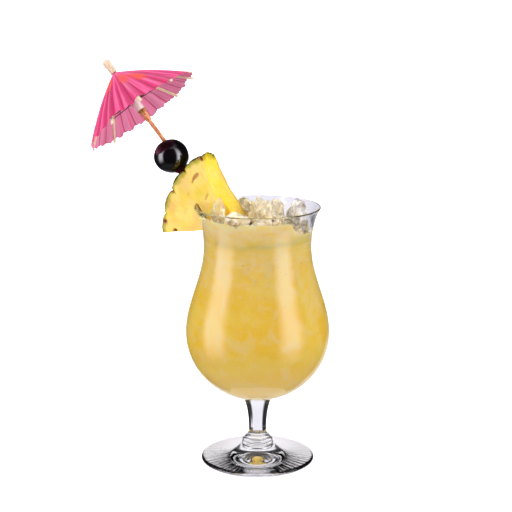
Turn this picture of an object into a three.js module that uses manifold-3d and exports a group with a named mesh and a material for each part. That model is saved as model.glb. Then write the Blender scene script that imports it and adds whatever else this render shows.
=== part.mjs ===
// A colada cocktail: a footed tulip glass of iced yellow drink, with a pineapple wedge on its rim
// and a paper parasol pick through a dark cherry into the wedge.
// Millimetres, +Z up. The origin is the middle of the foot's underside, and the wedge is on the -X side.
import * as THREE from "three";
import { ConvexGeometry } from "three/addons/geometries/ConvexGeometry.js";
import { mergeVertices } from "three/addons/utils/BufferGeometryUtils.js";
import Module from "manifold-3d";

const wasm = await Module();
wasm.setup();

// Driving dimensions, in millimetres, with angles in degrees
const GAP = 0.3;
const GLASS_SIDES = 36;
const SLEEVE_SIDES = 16;
const STICK_SIDES = 12;
const CURVE_STEPS = { belly: 7, shoulder: 6, flare: 6, foot: 4, stem: 4, lid: 4 };

const GLASS = {
  height: 156,
  rimRadius: 37.3,
  rimWall: 1.7,
  rimLean: 2.9,
  rimLeanDrop: 4.5,
  wall: 2.1,
  waistRadius: 32,
  waistHeight: 132,
  waistPull: 11,
  bellyRadius: 43.1,
  bellyHeight: 80,
  bellyDepth: 41.4,
  bottomThickness: 5.6,
  shoulderPull: 18,
  stemRadius: 5.3,
  stemFootHeight: 17.5,
  stemPullHeight: 32,
  stemTopRadius: 8.8,
  stemTopHeight: 38.6,
  footRadius: 34.1,
  footBevel: 1.8,
  footShoulder: 0.8,
  footEdge: 2.1,
  footSag: 0.6,
  footSagRadius: 18,
  footMiddle: 5.2,
};

// The turned rings between stem and foot: how far each stands out, and its height
const KNOP_RINGS = [
  { radius: 10, height: 8, half: 1.7 },
  { radius: 8.9, height: 11.9, half: 1.7 },
  { radius: 5.9, height: 15.3, half: 1.1 },
];
const KNOP_GROOVE = 1;

const DRINK_LEVEL = 141.7;

// Ice lumps above the drink: middle, half sizes and the seed of their facets
const ICE = {
  pointed: { at: [2.4, -1.2, 151], half: [8, 7.5, 12], seed: 3 },
  behind_wedge: { at: [-8.5, 18.5, 149.5], half: [7.5, 5.5, 9.5], seed: 11 },
  back_right: { at: [9.8, 13.2, 150], half: [7.6, 6.8, 9.5], seed: 5 },
  right: { at: [23.5, 4.5, 151.2], half: [6.4, 6.2, 9.2], seed: 8 },
  front_left: { at: [-12.5, -19.5, 149.8], half: [9, 4.8, 7.3], seed: 21 },
  shard: { at: [-22.5, -10.8, 153.5], half: [5, 4.2, 11.5], seed: 13 },
  right_wall: { at: [26.6, -7.2, 147.2], half: [3.6, 4.4, 5.4], seed: 17 },
  back: { at: [3.5, 25, 147.5], half: [7, 4.5, 7], seed: 29 },
  far_right: { at: [20.3, 16.4, 147], half: [4, 4.2, 6], seed: 31 },
  front: { at: [1.5, -17.5, 146], half: [6.6, 5.4, 6.3], seed: 37 },
};
const ICE_CORNERS = 18;
const ICE_ROUGHNESS = 0.22;

// The wedge, drawn upright in its own frame: X runs inwards along the slice, Y is the depth from
// its front face, and Z is the height above the foot. The frame's zero is where its face meets the wall.
const WEDGE = {
  facePlace: [-33.7, 4.7],
  turn: -33.5,
  thickness: 16,
  middle: [25.2, 137.8],
  rindRadius: 52.6,
  eyeHeight: 1.9,
  eyeStep: 17,
  firstNotch: 11,
  rindFrom: -2.4,
  frontRindTo: 67.5,
  backRindTo: 61,
  eyeBulge: 1,
  tip: [27, 144],
  heelHeight: 135.5,
};
// The cut side of the wedge, from its top to its tip, on the front face and on the back face
const FRONT_CUT = [[4.8, 182], [5, 175.5], [9.6, 166], [20.6, 156.2]];
const BACK_CUT = [[0.6, 182], [3.8, 175.5], [9.8, 166.5], [17.4, 156.6]];
const WEDGE_LAYERS = 6;
const RIND_STEPS = 28;
const CUT_STEPS = 9;

// The slit runs up the wall from here, and the drink leaves this much room under the wedge
const SLIT_FROM = 110;
const ROOM = { outside: 4, tall: 20 };

// The pick runs from the parasol's peak to where it enters the rind, both in the wedge's frame
const PICK = {
  peak: [-59.8, -4.7, 231],
  entry: [-14.7, 6.5, 174],
  length: 100,
  radius: 1.25,
  point: 6,
};
const CHERRY = { at: [-23.6, 3.5, 182.4], radius: 10.5, tall: 10.1, sides: 22, rings: 12 };

// Sizes along the pick are measured down from the parasol's peak, and the finial stands above it
const FINIAL = { above: 8.9, below: 0.5, footRadius: 2.3, topRadius: 2.8, dome: 1.9, lid: 2.5 };
const COLLAR = { from: 18.6, to: 28, radius: 2.5 };
const COLLAR_RING = { from: 28.3, to: 29.8, radius: 2.7 };
const STOP = { from: 30.1, to: 36, topRadius: 2.1, footRadius: 1.8 };

const CANOPY = {
  radius: 37.6,
  drop: 28.3,
  bow: 1.7,
  thickness: 0.6,
  pleatsPerGore: 3,
  pleatDepth: 1.1,
  rows: 3,
};
const RIB = { from: 5.8, width: 2, thickness: 0.8, below: 1.5, steps: 5 };
const STRETCHER = { foot: [4, 21.6], at: 25, width: 1.6, thickness: 0.5, clear: 0.4 };

// Where the ribs stand round the pick, and how far each reaches past the paper. They are glued by
// hand, so neither is even.
const RIBS = [
  { angle: 22, reach: 1 },
  { angle: 56, reach: 1.2 },
  { angle: 90, reach: 0.4 },
  { angle: 127, reach: -0.6 },
  { angle: 168, reach: 1.4 },
  { angle: 207, reach: 1.4 },
  { angle: 237, reach: -1.2 },
  { angle: 277, reach: -1.4 },
  { angle: 312, reach: 0.3 },
  { angle: 347, reach: 0.5 },
];

const FINISHES = {
  glass: { color: 0xe9eef0, roughness: 0.03 },
  drink: { color: 0xdcb961, roughness: 0.15 },
  ice: { color: 0xe3ddcd, roughness: 0.12 },
  pineapple: { color: 0xf2d667, roughness: 0.35 },
  cherry: { color: 0x1a070b, roughness: 0.12 },
  wood: { color: 0xcf7d4a, roughness: 0.6 },
  card: { color: 0xefd7c8, roughness: 0.8 },
  straw: { color: 0xe8d3a4, roughness: 0.8 },
  paper: { color: 0xe5408c, roughness: 0.7 },
  rib: { color: 0xdcc79c, roughness: 0.7 },
  stretcher: { color: 0x74344a, roughness: 0.8 },
};

const group = new THREE.Group();
group.name = "colada_cocktail";

// Adds a named mesh with a finish of its own
function addPart(parent, name, geometry, finish) {
  const material = new THREE.MeshStandardMaterial({ ...finish, metalness: 0 });
  const mesh = new THREE.Mesh(geometry, material);
  mesh.name = name;
  parent.add(mesh);
  return mesh;
}

// Cutting and joining closed meshes
function solidFrom(geometry) {
  const bare = geometry.clone();
  bare.deleteAttribute("normal");
  bare.deleteAttribute("uv");
  const merged = mergeVertices(bare, 1e-4);
  return new wasm.Manifold(
    new wasm.Mesh({
      numProp: 3,
      vertProperties: new Float32Array(merged.attributes.position.array),
      triVerts: new Uint32Array(merged.index.array),
    }),
  );
}

function geometryFrom(solid) {
  const mesh = solid.getMesh();
  const geometry = new THREE.BufferGeometry();
  geometry.setAttribute("position", new THREE.BufferAttribute(new Float32Array(mesh.vertProperties), 3));
  geometry.setIndex(new THREE.BufferAttribute(new Uint32Array(mesh.triVerts), 1));
  geometry.computeVertexNormals();
  return geometry;
}

function cut(geometry, tools) {
  let solid = solidFrom(geometry);
  for (const tool of tools) {
    solid = solid.subtract(solidFrom(tool));
  }
  return geometryFrom(solid);
}

// Turns a profile of [radius, height] pairs about the Z axis
function turned(profile, sides = GLASS_SIDES) {
  const points = profile.map(([radius, height]) => new THREE.Vector2(radius, height));
  return new THREE.LatheGeometry(points, sides).rotateX(Math.PI / 2);
}

function seededRandom(seed) {
  let state = seed;
  return () => {
    state = (state * 16807) % 2147483647;
    return state / 2147483647;
  };
}

const pairs = (curve, steps) => curve.getPoints(steps).map((point) => [point.x, point.y]);

// The bowl's outline from the middle of its bottom to the rim, set in from the outer face
function bowlOutline({ inset, bottomInset, rimInset }) {
  const { bellyRadius, bellyHeight, bellyDepth, waistRadius, waistHeight, shoulderPull } = GLASS;
  const rim = GLASS.rimRadius - rimInset;
  const belly = new THREE.EllipseCurve(
    0, bellyHeight, bellyRadius - inset, bellyDepth - bottomInset, -Math.PI / 2, 0,
  );
  const shoulder = new THREE.CubicBezierCurve(
    new THREE.Vector2(bellyRadius - inset, bellyHeight),
    new THREE.Vector2(bellyRadius - inset, bellyHeight + shoulderPull),
    new THREE.Vector2(waistRadius - inset, waistHeight - shoulderPull),
    new THREE.Vector2(waistRadius - inset, waistHeight),
  );
  const flare = new THREE.CubicBezierCurve(
    new THREE.Vector2(waistRadius - inset, waistHeight),
    new THREE.Vector2(waistRadius - inset, waistHeight + GLASS.waistPull),
    new THREE.Vector2(rim - GLASS.rimLean, GLASS.height - GLASS.rimLeanDrop),
    new THREE.Vector2(rim, GLASS.height - GLASS.rimWall / 2),
  );
  return [
    ...pairs(belly, CURVE_STEPS.belly),
    ...pairs(shoulder, CURVE_STEPS.shoulder).slice(1),
    ...pairs(flare, CURVE_STEPS.flare).slice(1),
  ];
}

const outerBowl = bowlOutline({ inset: 0, bottomInset: 0, rimInset: 0 });
const innerBowl = bowlOutline({
  inset: GLASS.wall, bottomInset: GLASS.bottomThickness, rimInset: GLASS.rimWall,
});

// The foot's rounded edge and its hollow upper side, up to the knop
function footOutline() {
  const { footRadius, footBevel, footShoulder, footEdge, footSag, footSagRadius, footMiddle } = GLASS;
  const slope = new THREE.QuadraticBezierCurve(
    new THREE.Vector2(footRadius - footShoulder, footEdge),
    new THREE.Vector2(footSagRadius, footEdge + footSag),
    new THREE.Vector2(KNOP_RINGS[0].radius, footMiddle),
  );
  const edge = [[0, 0], [footRadius - footBevel, 0], [footRadius, footEdge / 2]];
  return [...edge, ...pairs(slope, CURVE_STEPS.foot)];
}

// Each ring is a bead with a groove above and below it
function knopOutline() {
  return KNOP_RINGS.flatMap(({ radius, height, half }) => [
    [radius - KNOP_GROOVE, height - half],
    [radius, height - half / 3],
    [radius - KNOP_GROOVE / 4, height + half / 2],
    [radius - KNOP_GROOVE, height + half],
  ]);
}

// The stem widens upwards into the bowl
function stemOutline() {
  const { stemRadius, stemFootHeight, stemPullHeight, stemTopRadius, stemTopHeight } = GLASS;
  const side = new THREE.QuadraticBezierCurve(
    new THREE.Vector2(stemRadius, stemFootHeight),
    new THREE.Vector2(stemRadius, stemPullHeight),
    new THREE.Vector2(stemTopRadius, stemTopHeight),
  );
  return pairs(side, CURVE_STEPS.stem);
}

function glassGeometry() {
  const bowlFrom = outerBowl.findIndex(([radius]) => radius > GLASS.stemTopRadius);
  const rimTop = [GLASS.rimRadius - GLASS.rimWall / 2, GLASS.height];
  return turned([
    ...footOutline(),
    ...knopOutline(),
    ...stemOutline(),
    ...outerBowl.slice(bowlFrom),
    rimTop,
    ...innerBowl.toReversed(),
  ]);
}

// The drink fills the bowl to its level, cut round the ice and the wedge that dip into it
function drinkGeometry(cutters) {
  const fill = bowlOutline({
    inset: GLASS.wall + GAP,
    bottomInset: GLASS.bottomThickness + GAP,
    rimInset: GLASS.rimWall + GAP,
  });
  const above = fill.findIndex(([, height]) => height > DRINK_LEVEL);
  const [low, high] = [fill[above - 1], fill[above]];
  const share = (DRINK_LEVEL - low[1]) / (high[1] - low[1]);
  const edge = low[0] + share * (high[0] - low[0]);
  const body = turned([...fill.slice(0, above), [edge, DRINK_LEVEL], [0, DRINK_LEVEL]]);
  return cut(body, cutters);
}

// Corner points of a cracked lump of ice, spread over a rough ellipsoid by the golden angle
function icePoints({ half, seed }) {
  const random = seededRandom(seed);
  const goldenAngle = Math.PI * (3 - Math.sqrt(5));
  return Array.from({ length: ICE_CORNERS }, (_, index) => {
    const height = 1 - (2 * (index + 0.5)) / ICE_CORNERS;
    const angle = index * goldenAngle + seed;
    const reach = 1 - ICE_ROUGHNESS * random();
    const across = Math.sqrt(1 - height * height);
    return new THREE.Vector3(across * Math.cos(angle), across * Math.sin(angle), height)
      .multiplyScalar(reach)
      .multiply(new THREE.Vector3(...half));
  });
}

// The same lump swollen by the gap that its neighbours keep from it
function swollenHull(points, at) {
  const ends = [-GAP, GAP];
  const offsets = ends.flatMap((x) => ends.flatMap((y) => ends.map((z) => [x, y, z])));
  const swollen = points.flatMap((point) => (
    offsets.map((offset) => point.clone().add(new THREE.Vector3(...offset)))
  ));
  return new ConvexGeometry(swollen).translate(...at);
}

// One outline of the wedge, at a share of the way from its front face to its back face
function wedgeOutline(share) {
  const { middle, rindRadius, eyeHeight, eyeStep, firstNotch, rindFrom, tip, heelHeight } = WEDGE;
  const rindTo = THREE.MathUtils.lerp(WEDGE.frontRindTo, WEDGE.backRindTo, share);
  const bulge = WEDGE.eyeBulge * Math.sin(Math.PI * share);
  const rind = Array.from({ length: RIND_STEPS + 1 }, (_, index) => {
    const angle = THREE.MathUtils.lerp(rindFrom, rindTo, index / RIND_STEPS);
    const eye = Math.abs(Math.sin((Math.PI * (angle - firstNotch)) / eyeStep));
    const radius = rindRadius + (eyeHeight + bulge) * Math.sqrt(eye);
    const turn = THREE.MathUtils.degToRad(angle);
    return new THREE.Vector2(middle[0] - radius * Math.cos(turn), middle[1] + radius * Math.sin(turn));
  });
  rind[0].y = heelHeight;
  const knots = FRONT_CUT.map((front, index) => new THREE.Vector2(
    THREE.MathUtils.lerp(front[0], BACK_CUT[index][0], share),
    THREE.MathUtils.lerp(front[1], BACK_CUT[index][1], share),
  ));
  const side = new THREE.SplineCurve([...knots, new THREE.Vector2(...tip)]).getPoints(CUT_STEPS);
  return [...rind, ...side];
}

// Joins outlines of equal length, placed at depths, into one closed body
function lofted(outlines, depths) {
  const positions = outlines.flatMap((outline, layer) => (
    outline.flatMap(({ x, y }) => [x, depths[layer], y])
  ));
  const count = outlines[0].length;
  const last = (outlines.length - 1) * count;
  const index = [];
  for (let layer = 0; layer < outlines.length - 1; layer += 1) {
    for (let point = 0; point < count; point += 1) {
      const next = (point + 1) % count;
      const [a, b] = [layer * count + point, layer * count + next];
      index.push(a, b, a + count, b, b + count, a + count);
    }
  }
  for (const [a, b, c] of THREE.ShapeUtils.triangulateShape(outlines[0], [])) {
    index.push(a, b, c);
  }
  for (const [a, b, c] of THREE.ShapeUtils.triangulateShape(outlines.at(-1), [])) {
    index.push(last + a, last + c, last + b);
  }
  const geometry = new THREE.BufferGeometry();
  geometry.setAttribute("position", new THREE.Float32BufferAttribute(positions, 3));
  geometry.setIndex(index);
  return geometry;
}

// The glass wall with room round it, which the wedge's slit follows. The flared wall leans, so a
// level shift needs to be wider than the gap that it leaves.
function slitTool() {
  const from = outerBowl.findIndex(([, height]) => height > SLIT_FROM);
  const shift = GAP * 1.5;
  const outside = outerBowl.slice(from).map(([radius, height]) => [radius + shift, height]);
  const inside = innerBowl.slice(from).map(([radius, height]) => [radius - shift, height]);
  const top = [GLASS.rimRadius - GLASS.rimWall / 2, GLASS.height + shift];
  return turned([...outside, top, ...inside.toReversed(), outside[0]]);
}

function wedgeGeometry(wedgeFrame) {
  const shares = Array.from({ length: WEDGE_LAYERS }, (_, layer) => layer / (WEDGE_LAYERS - 1));
  const body = lofted(shares.map(wedgeOutline), shares.map((share) => share * WEDGE.thickness));
  const slit = slitTool().applyMatrix4(wedgeFrame.matrixWorld.clone().invert());
  return cut(body, [slit, pickHole()]);
}

// The room that the drink leaves under the wedge, a slab a gap wider and lower than the wedge
function wedgeRoom(wedgeFrame) {
  const [tipAlong, tipHeight] = WEDGE.tip;
  const heelAlong = WEDGE.middle[0] - WEDGE.rindRadius;
  const slope = (tipHeight - WEDGE.heelHeight) / (tipAlong - heelAlong);
  const floor = (along) => WEDGE.heelHeight + slope * (along - heelAlong) - GAP;
  const [from, to] = [-ROOM.outside, tipAlong + GAP];
  const shape = new THREE.Shape([
    new THREE.Vector2(from, floor(from)),
    new THREE.Vector2(to, floor(to)),
    new THREE.Vector2(to, floor(to) + ROOM.tall),
    new THREE.Vector2(from, floor(from) + ROOM.tall),
  ]);
  return new THREE.ExtrudeGeometry(shape, { depth: WEDGE.thickness + 2 * GAP, bevelEnabled: false })
    .rotateX(Math.PI / 2)
    .translate(0, WEDGE.thickness + GAP, 0)
    .applyMatrix4(wedgeFrame.matrixWorld);
}

// The pick's frame: Z runs back up the stick, and zero is the parasol's peak
function pickMatrix() {
  const peak = new THREE.Vector3(...PICK.peak);
  const up = peak.clone().sub(new THREE.Vector3(...PICK.entry)).normalize();
  const turn = new THREE.Quaternion().setFromUnitVectors(new THREE.Vector3(0, 0, 1), up);
  return new THREE.Matrix4().compose(peak, turn, new THREE.Vector3(1, 1, 1));
}

const pickEnd = FINIAL.above - PICK.length;
const stickTop = FINIAL.above - FINIAL.lid;
const bore = PICK.radius + GAP;

// The stick's hole through the cherry and into the wedge, in the wedge's frame
function pickHole() {
  const profile = [[0, pickEnd - GAP], [bore, pickEnd - GAP], [bore, -COLLAR.to], [0, -COLLAR.to]];
  return turned(profile, STICK_SIDES).applyMatrix4(pickMatrix());
}

function cherryGeometry() {
  const { at, radius, tall, sides, rings } = CHERRY;
  const ball = new THREE.SphereGeometry(1, sides, rings)
    .rotateX(Math.PI / 2)
    .scale(radius, radius, tall)
    .translate(...at);
  return cut(ball, [pickHole()]);
}

// The stick: its top is hidden in the finial and its lower end is a point
function stickGeometry() {
  const { radius, point } = PICK;
  const profile = [[0, pickEnd], [radius, pickEnd + point], [radius, stickTop], [0, stickTop]];
  return turned(profile, STICK_SIDES);
}

// A sleeve on the stick between two distances below the peak
function sleeveGeometry({ from, to, radius, topRadius = radius, footRadius = radius }) {
  const profile = [[bore, -to], [footRadius, -to], [topRadius, -from], [bore, -from], [bore, -to]];
  return turned(profile, SLEEVE_SIDES);
}

// The rolled paper finial, a cap with a domed top and a blind bore for the stick
function finialGeometry() {
  const { above, below, footRadius, topRadius, dome } = FINIAL;
  const boreEnd = stickTop + GAP;
  const lid = new THREE.EllipseCurve(0, above - dome, topRadius, dome, 0, Math.PI / 2);
  const cup = [[0, boreEnd], [bore, boreEnd], [bore, -below], [footRadius, -below]];
  return turned([...cup, ...pairs(lid, CURVE_STEPS.lid)], SLEEVE_SIDES);
}

// The canopy's drop below its peak at a radius: a cone bowed outwards between peak and rim
function canopyDrop(radius) {
  const share = radius / CANOPY.radius;
  return CANOPY.drop * share - CANOPY.bow * Math.sin(Math.PI * share);
}

// Paper pleats: ridges over the ribs, and folds between them that grow towards the rim
function canopyGeometry() {
  const stops = RIBS.flatMap(({ angle }, gore) => {
    const next = gore + 1 < RIBS.length ? RIBS[gore + 1].angle : RIBS[0].angle + 360;
    const folds = CANOPY.pleatsPerGore * 2;
    return Array.from({ length: folds }, (_, fold) => ({
      angle: THREE.MathUtils.degToRad(angle + ((next - angle) * fold) / folds),
      valley: fold % 2,
    }));
  });
  const radii = Array.from({ length: CANOPY.rows + 1 }, (_, row) => (
    THREE.MathUtils.lerp(bore, CANOPY.radius, row / CANOPY.rows)
  ));
  const ring = (radius, shift) => stops.flatMap(({ angle, valley }) => {
    const share = radius / CANOPY.radius;
    const drop = canopyDrop(radius) + valley * CANOPY.pleatDepth * share + shift;
    return [radius * Math.cos(angle), radius * Math.sin(angle), -drop];
  });
  const rings = [
    ...radii.map((radius) => ring(radius, 0)),
    ...radii.toReversed().map((radius) => ring(radius, CANOPY.thickness)),
  ];
  const index = [];
  const count = stops.length;
  rings.forEach((_, row) => {
    const below = ((row + 1) % rings.length) * count;
    for (let stop = 0; stop < count; stop += 1) {
      const next = (stop + 1) % count;
      const [a, b] = [row * count + stop, row * count + next];
      index.push(a, below + stop, b, b, below + stop, below + next);
    }
  });
  const geometry = new THREE.BufferGeometry();
  geometry.setAttribute("position", new THREE.Float32BufferAttribute(rings.flat(), 3));
  geometry.setIndex(index);
  return geometry;
}

// A flat strip drawn in the plane through the stick, then given its width
function stripGeometry(upper, thickness, width) {
  const lower = upper.map(([radius, height]) => [radius, height - thickness]).toReversed();
  const corners = [...upper, ...lower].map(([radius, height]) => new THREE.Vector2(radius, height));
  const shape = new THREE.Shape(corners);
  return new THREE.ExtrudeGeometry(shape, { depth: width, bevelEnabled: false, steps: 1 })
    .translate(0, 0, -width / 2)
    .rotateX(Math.PI / 2);
}

// A rib lies under a ridge of the paper and ends near its edge
function ribGeometry(reach) {
  const upper = Array.from({ length: RIB.steps + 1 }, (_, step) => {
    const radius = THREE.MathUtils.lerp(RIB.from, CANOPY.radius + reach, step / RIB.steps);
    return [radius, -canopyDrop(radius) - RIB.below];
  });
  return stripGeometry(upper, RIB.thickness, RIB.width);
}

// A stretcher runs from the top of the collar to the underside of a rib
function stretcherGeometry() {
  const [footRadius, footDrop] = STRETCHER.foot;
  const ribUnderside = canopyDrop(STRETCHER.at) + RIB.below + RIB.thickness + STRETCHER.clear;
  const upper = [[footRadius, -footDrop], [STRETCHER.at, -ribUnderside]];
  return stripGeometry(upper, STRETCHER.thickness, STRETCHER.width);
}

// Glass, drink and ice share the glass's frame. The wedge and what is on it have frames of their own.
const wedgeFrame = new THREE.Group();
wedgeFrame.position.set(...WEDGE.facePlace, 0);
wedgeFrame.rotation.z = THREE.MathUtils.degToRad(WEDGE.turn);
group.add(wedgeFrame);

const pickFrame = new THREE.Group();
pickMatrix().decompose(pickFrame.position, pickFrame.quaternion, pickFrame.scale);
wedgeFrame.add(pickFrame);
group.updateMatrixWorld(true);

function addIce() {
  const rooms = [];
  for (const [name, lump] of Object.entries(ICE)) {
    const points = icePoints(lump);
    const mesh = addPart(group, `ice_${name}`, new ConvexGeometry(points), FINISHES.ice);
    mesh.position.set(...lump.at);
    rooms.push(swollenHull(points, lump.at));
  }
  return rooms;
}

function addParasol() {
  addPart(pickFrame, "parasol_stick", stickGeometry(), FINISHES.wood);
  addPart(pickFrame, "parasol_finial", finialGeometry(), FINISHES.straw);
  addPart(pickFrame, "parasol_collar", sleeveGeometry(COLLAR), FINISHES.card);
  addPart(pickFrame, "parasol_collar_ring", sleeveGeometry(COLLAR_RING), FINISHES.straw);
  addPart(pickFrame, "parasol_stop", sleeveGeometry(STOP), FINISHES.wood);
  addPart(pickFrame, "parasol_canopy", canopyGeometry(), FINISHES.paper);
  RIBS.forEach(({ angle, reach }, index) => {
    const spoke = new THREE.Group();
    spoke.rotation.z = THREE.MathUtils.degToRad(angle);
    pickFrame.add(spoke);
    addPart(spoke, `parasol_rib_${index + 1}`, ribGeometry(reach), FINISHES.rib);
    addPart(spoke, `parasol_stretcher_${index + 1}`, stretcherGeometry(), FINISHES.stretcher);
  });
}

addPart(group, "glass", glassGeometry(), FINISHES.glass);
const iceRooms = addIce();
addPart(group, "drink", drinkGeometry([...iceRooms, wedgeRoom(wedgeFrame)]), FINISHES.drink);
addPart(wedgeFrame, "pineapple_wedge", wedgeGeometry(wedgeFrame), FINISHES.pineapple);
addPart(wedgeFrame, "cherry", cherryGeometry(), FINISHES.cherry);
addParasol();

export default group;
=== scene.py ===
"""A colada cocktail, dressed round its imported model.

A footed tulip glass of iced golden drink stands on a pale floor, with a pineapple wedge on its rim and a
pleated paper parasol pick through a dark cherry. Sizes are in millimetres in the classes, and become metres
where a mesh is made.
"""
import logging
import math
import random
from collections.abc import Iterable, Sequence
from dataclasses import dataclass
from enum import Enum
from typing import Any

import bmesh
import bpy
from bpy.types import Material, Mesh, Node, NodeSocket, NodeTree, Object
from mathutils import Matrix, Vector, noise


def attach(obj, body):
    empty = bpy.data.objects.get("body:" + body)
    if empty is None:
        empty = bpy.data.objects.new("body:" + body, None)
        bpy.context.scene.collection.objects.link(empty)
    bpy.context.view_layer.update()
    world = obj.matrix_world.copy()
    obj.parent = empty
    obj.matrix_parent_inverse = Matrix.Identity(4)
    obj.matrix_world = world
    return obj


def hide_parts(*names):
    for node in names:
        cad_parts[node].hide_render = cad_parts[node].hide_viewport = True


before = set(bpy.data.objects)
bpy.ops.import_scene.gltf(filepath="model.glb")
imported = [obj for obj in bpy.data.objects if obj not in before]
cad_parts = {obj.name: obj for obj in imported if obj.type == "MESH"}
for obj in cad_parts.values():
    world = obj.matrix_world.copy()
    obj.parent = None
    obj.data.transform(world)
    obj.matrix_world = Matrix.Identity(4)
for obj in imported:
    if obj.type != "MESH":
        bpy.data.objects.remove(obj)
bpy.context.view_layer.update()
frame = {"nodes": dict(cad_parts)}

log = logging.getLogger("colada")

MM = 0.001
IN_METRES = Matrix.Scale(MM, 4)

Pair = tuple[float, float]
Triple = tuple[float, float, float]
Profile = list[Pair]
Colour = tuple[float, float, float, float]


# Small tools for numbers, colours and nodes


def linear(code: str) -> Colour:
    """Turns an sRGB hex value into the linear colour that a shader takes.

    Args:
        code: The value, such as #rrggbb.

    Returns:
        The linear colour.
    """
    channels = [int(code[start:start + 2], 16) / 255 for start in (1, 3, 5)]
    red, green, blue = (c / 12.92 if c <= 0.04045 else ((c + 0.055) / 1.055) ** 2.4 for c in channels)
    return red, green, blue, 1.0


def ease(low: float, high: float, value: float) -> float:
    """Goes smoothly from 0 at low to 1 at high."""
    share = min(1.0, max(0.0, (value - low) / (high - low)))
    return share * share * (3 - 2 * share)


def lerp(start: float, end: float, share: float) -> float:
    """Goes evenly from start to end."""
    return start + (end - start) * share


# Map Range takes its value and its four limits at places 0 to 4, and this makes it ease between them
EASED = {"interpolation_type": "SMOOTHSTEP"}


def add(tree: NodeTree, kind: str, inputs: dict[str | int, Any] | None = None, **settings: Any) -> Node:
    """Adds a node with its settings, its values and its links.

    Args:
        tree: The tree that the node joins.
        kind: Blender's identifier for the node's type, which for a shader node goes without ShaderNode.
        inputs: For each input by name or place, a value, an output socket, or a node for its first output.
        **settings: The node's own properties.

    Returns:
        The new node.
    """
    node = tree.nodes.new(kind if "Node" in kind else f"ShaderNode{kind}")
    for name, value in settings.items():
        setattr(node, name, value)
    for key, value in (inputs or {}).items():
        if isinstance(value, (Node, NodeSocket)):
            tree.links.new(value.outputs[0] if isinstance(value, Node) else value, node.inputs[key])
        else:
            node.inputs[key].default_value = value
    return node


def millimetres(tree: NodeTree) -> NodeSocket:
    """Gives a point's place on the object in millimetres, which each pattern is scaled from."""
    place = add(tree, "TexCoord").outputs["Object"]
    return add(tree, "VectorMath", {0: place, "Scale": 1 / MM}, operation="SCALE").outputs[0]


def kept(tree: NodeTree, *names: str) -> list[NodeSocket]:
    """Gives the numbers that a mesh keeps for its material, by their names."""
    return [add(tree, "Attribute", attribute_name=name).outputs["Fac"] for name in names]


@dataclass(frozen=True)
class Coat:
    """A colour laid over others, more of it the further a pattern has come from low to high.

    Without low and high, the pattern's value is the share that shows. It only shows within another share.
    """

    colour: str | NodeSocket
    pattern: Node | NodeSocket
    low: float | None = None
    high: float = 1.0
    most: float = 1.0
    within: Node | None = None


def coated(tree: NodeTree, base: str | NodeSocket, *coats: Coat) -> NodeSocket:
    """Lays coats of colour over a base colour.

    Args:
        tree: The material's tree.
        base: The colour under them.
        *coats: The coats, from the first to the last.

    Returns:
        The finished colour's socket.
    """
    colour = linear(base) if isinstance(base, str) else base
    for coat in coats:
        share = coat.pattern
        if coat.low is not None:
            share = add(tree, "MapRange", {0: share, 1: coat.low, 2: coat.high, 4: coat.most}, **EASED)
        if coat.within is not None:
            share = add(tree, "Math", {0: share, 1: coat.within}, operation="MULTIPLY")
        over = linear(coat.colour) if isinstance(coat.colour, str) else coat.colour
        colour = add(tree, "Mix", {0: share, 6: colour, 7: over}, data_type="RGBA").outputs[2]
    return colour


# Meshes


@dataclass
class Shell:
    """Points in millimetres, and the faces between them."""

    points: list[Vector]
    faces: list[tuple[int, ...]]

    def placed(self, place: Matrix) -> "Shell":
        """Gives the same shell moved by a matrix in millimetres."""
        return Shell([place @ point for point in self.points], list(self.faces))

    def joined(self, other: "Shell") -> "Shell":
        """Gives this shell and another one as one."""
        shift = len(self.points)
        faces = [tuple(corner + shift for corner in face) for face in other.faces]
        return Shell(self.points + other.points, self.faces + faces)

    def to_mesh(self, name: str, sharp: float = 35) -> Mesh:
        """Makes a smooth mesh in metres.

        Args:
            name: The mesh's name.
            sharp: The angle in degrees above which an edge stays sharp.

        Returns:
            The mesh.
        """
        mesh = bpy.data.meshes.new(name)
        mesh.from_pydata([tuple(point * MM) for point in self.points], [], self.faces)
        mesh.polygons.foreach_set("use_smooth", [True] * len(mesh.polygons))
        mesh.set_sharp_from_angle(angle=math.radians(sharp))
        mesh.validate()
        mesh.update()
        return mesh


def bridged(rings: Sequence[Sequence[int]], closed: bool = False) -> list[tuple[int, ...]]:
    """Gives the faces between rings of points, out where each ring turns left about the way to the next.

    Args:
        rings: The points of each ring. A pole's ring holds its one point again and again.
        closed: Whether the last ring joins the first.

    Returns:
        The faces.
    """
    faces = []
    for low, high in list(zip(rings, rings[1:])) + ([(rings[-1], rings[0])] if closed else []):
        for side in range(len(low)):
            after = (side + 1) % len(low)
            face = tuple(dict.fromkeys([low[side], low[after], high[after], high[side]]))
            if len(face) > 2:
                faces.append(face)
    return faces


def turned(profile: Sequence[Pair], sides: int, closed: bool = False) -> Shell:
    """Turns a profile about the Z axis, with its faces out where it runs out, up and in again.

    Args:
        profile: Radius and height of each point. A radius of 0 is a pole.
        sides: How many steps there are round the axis.
        closed: Whether the last point joins the first.

    Returns:
        The turned shell.
    """
    points: list[Vector] = []
    rings: list[list[int]] = []
    for radius, height in profile:
        count = 1 if radius < 1e-6 else sides
        first = len(points)
        for side in range(count):
            angle = math.tau * side / sides
            points.append(Vector((radius * math.cos(angle), radius * math.sin(angle), height)))
        rings.append([first + side % count for side in range(sides)])
    return Shell(points, bridged(rings, closed))


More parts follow.
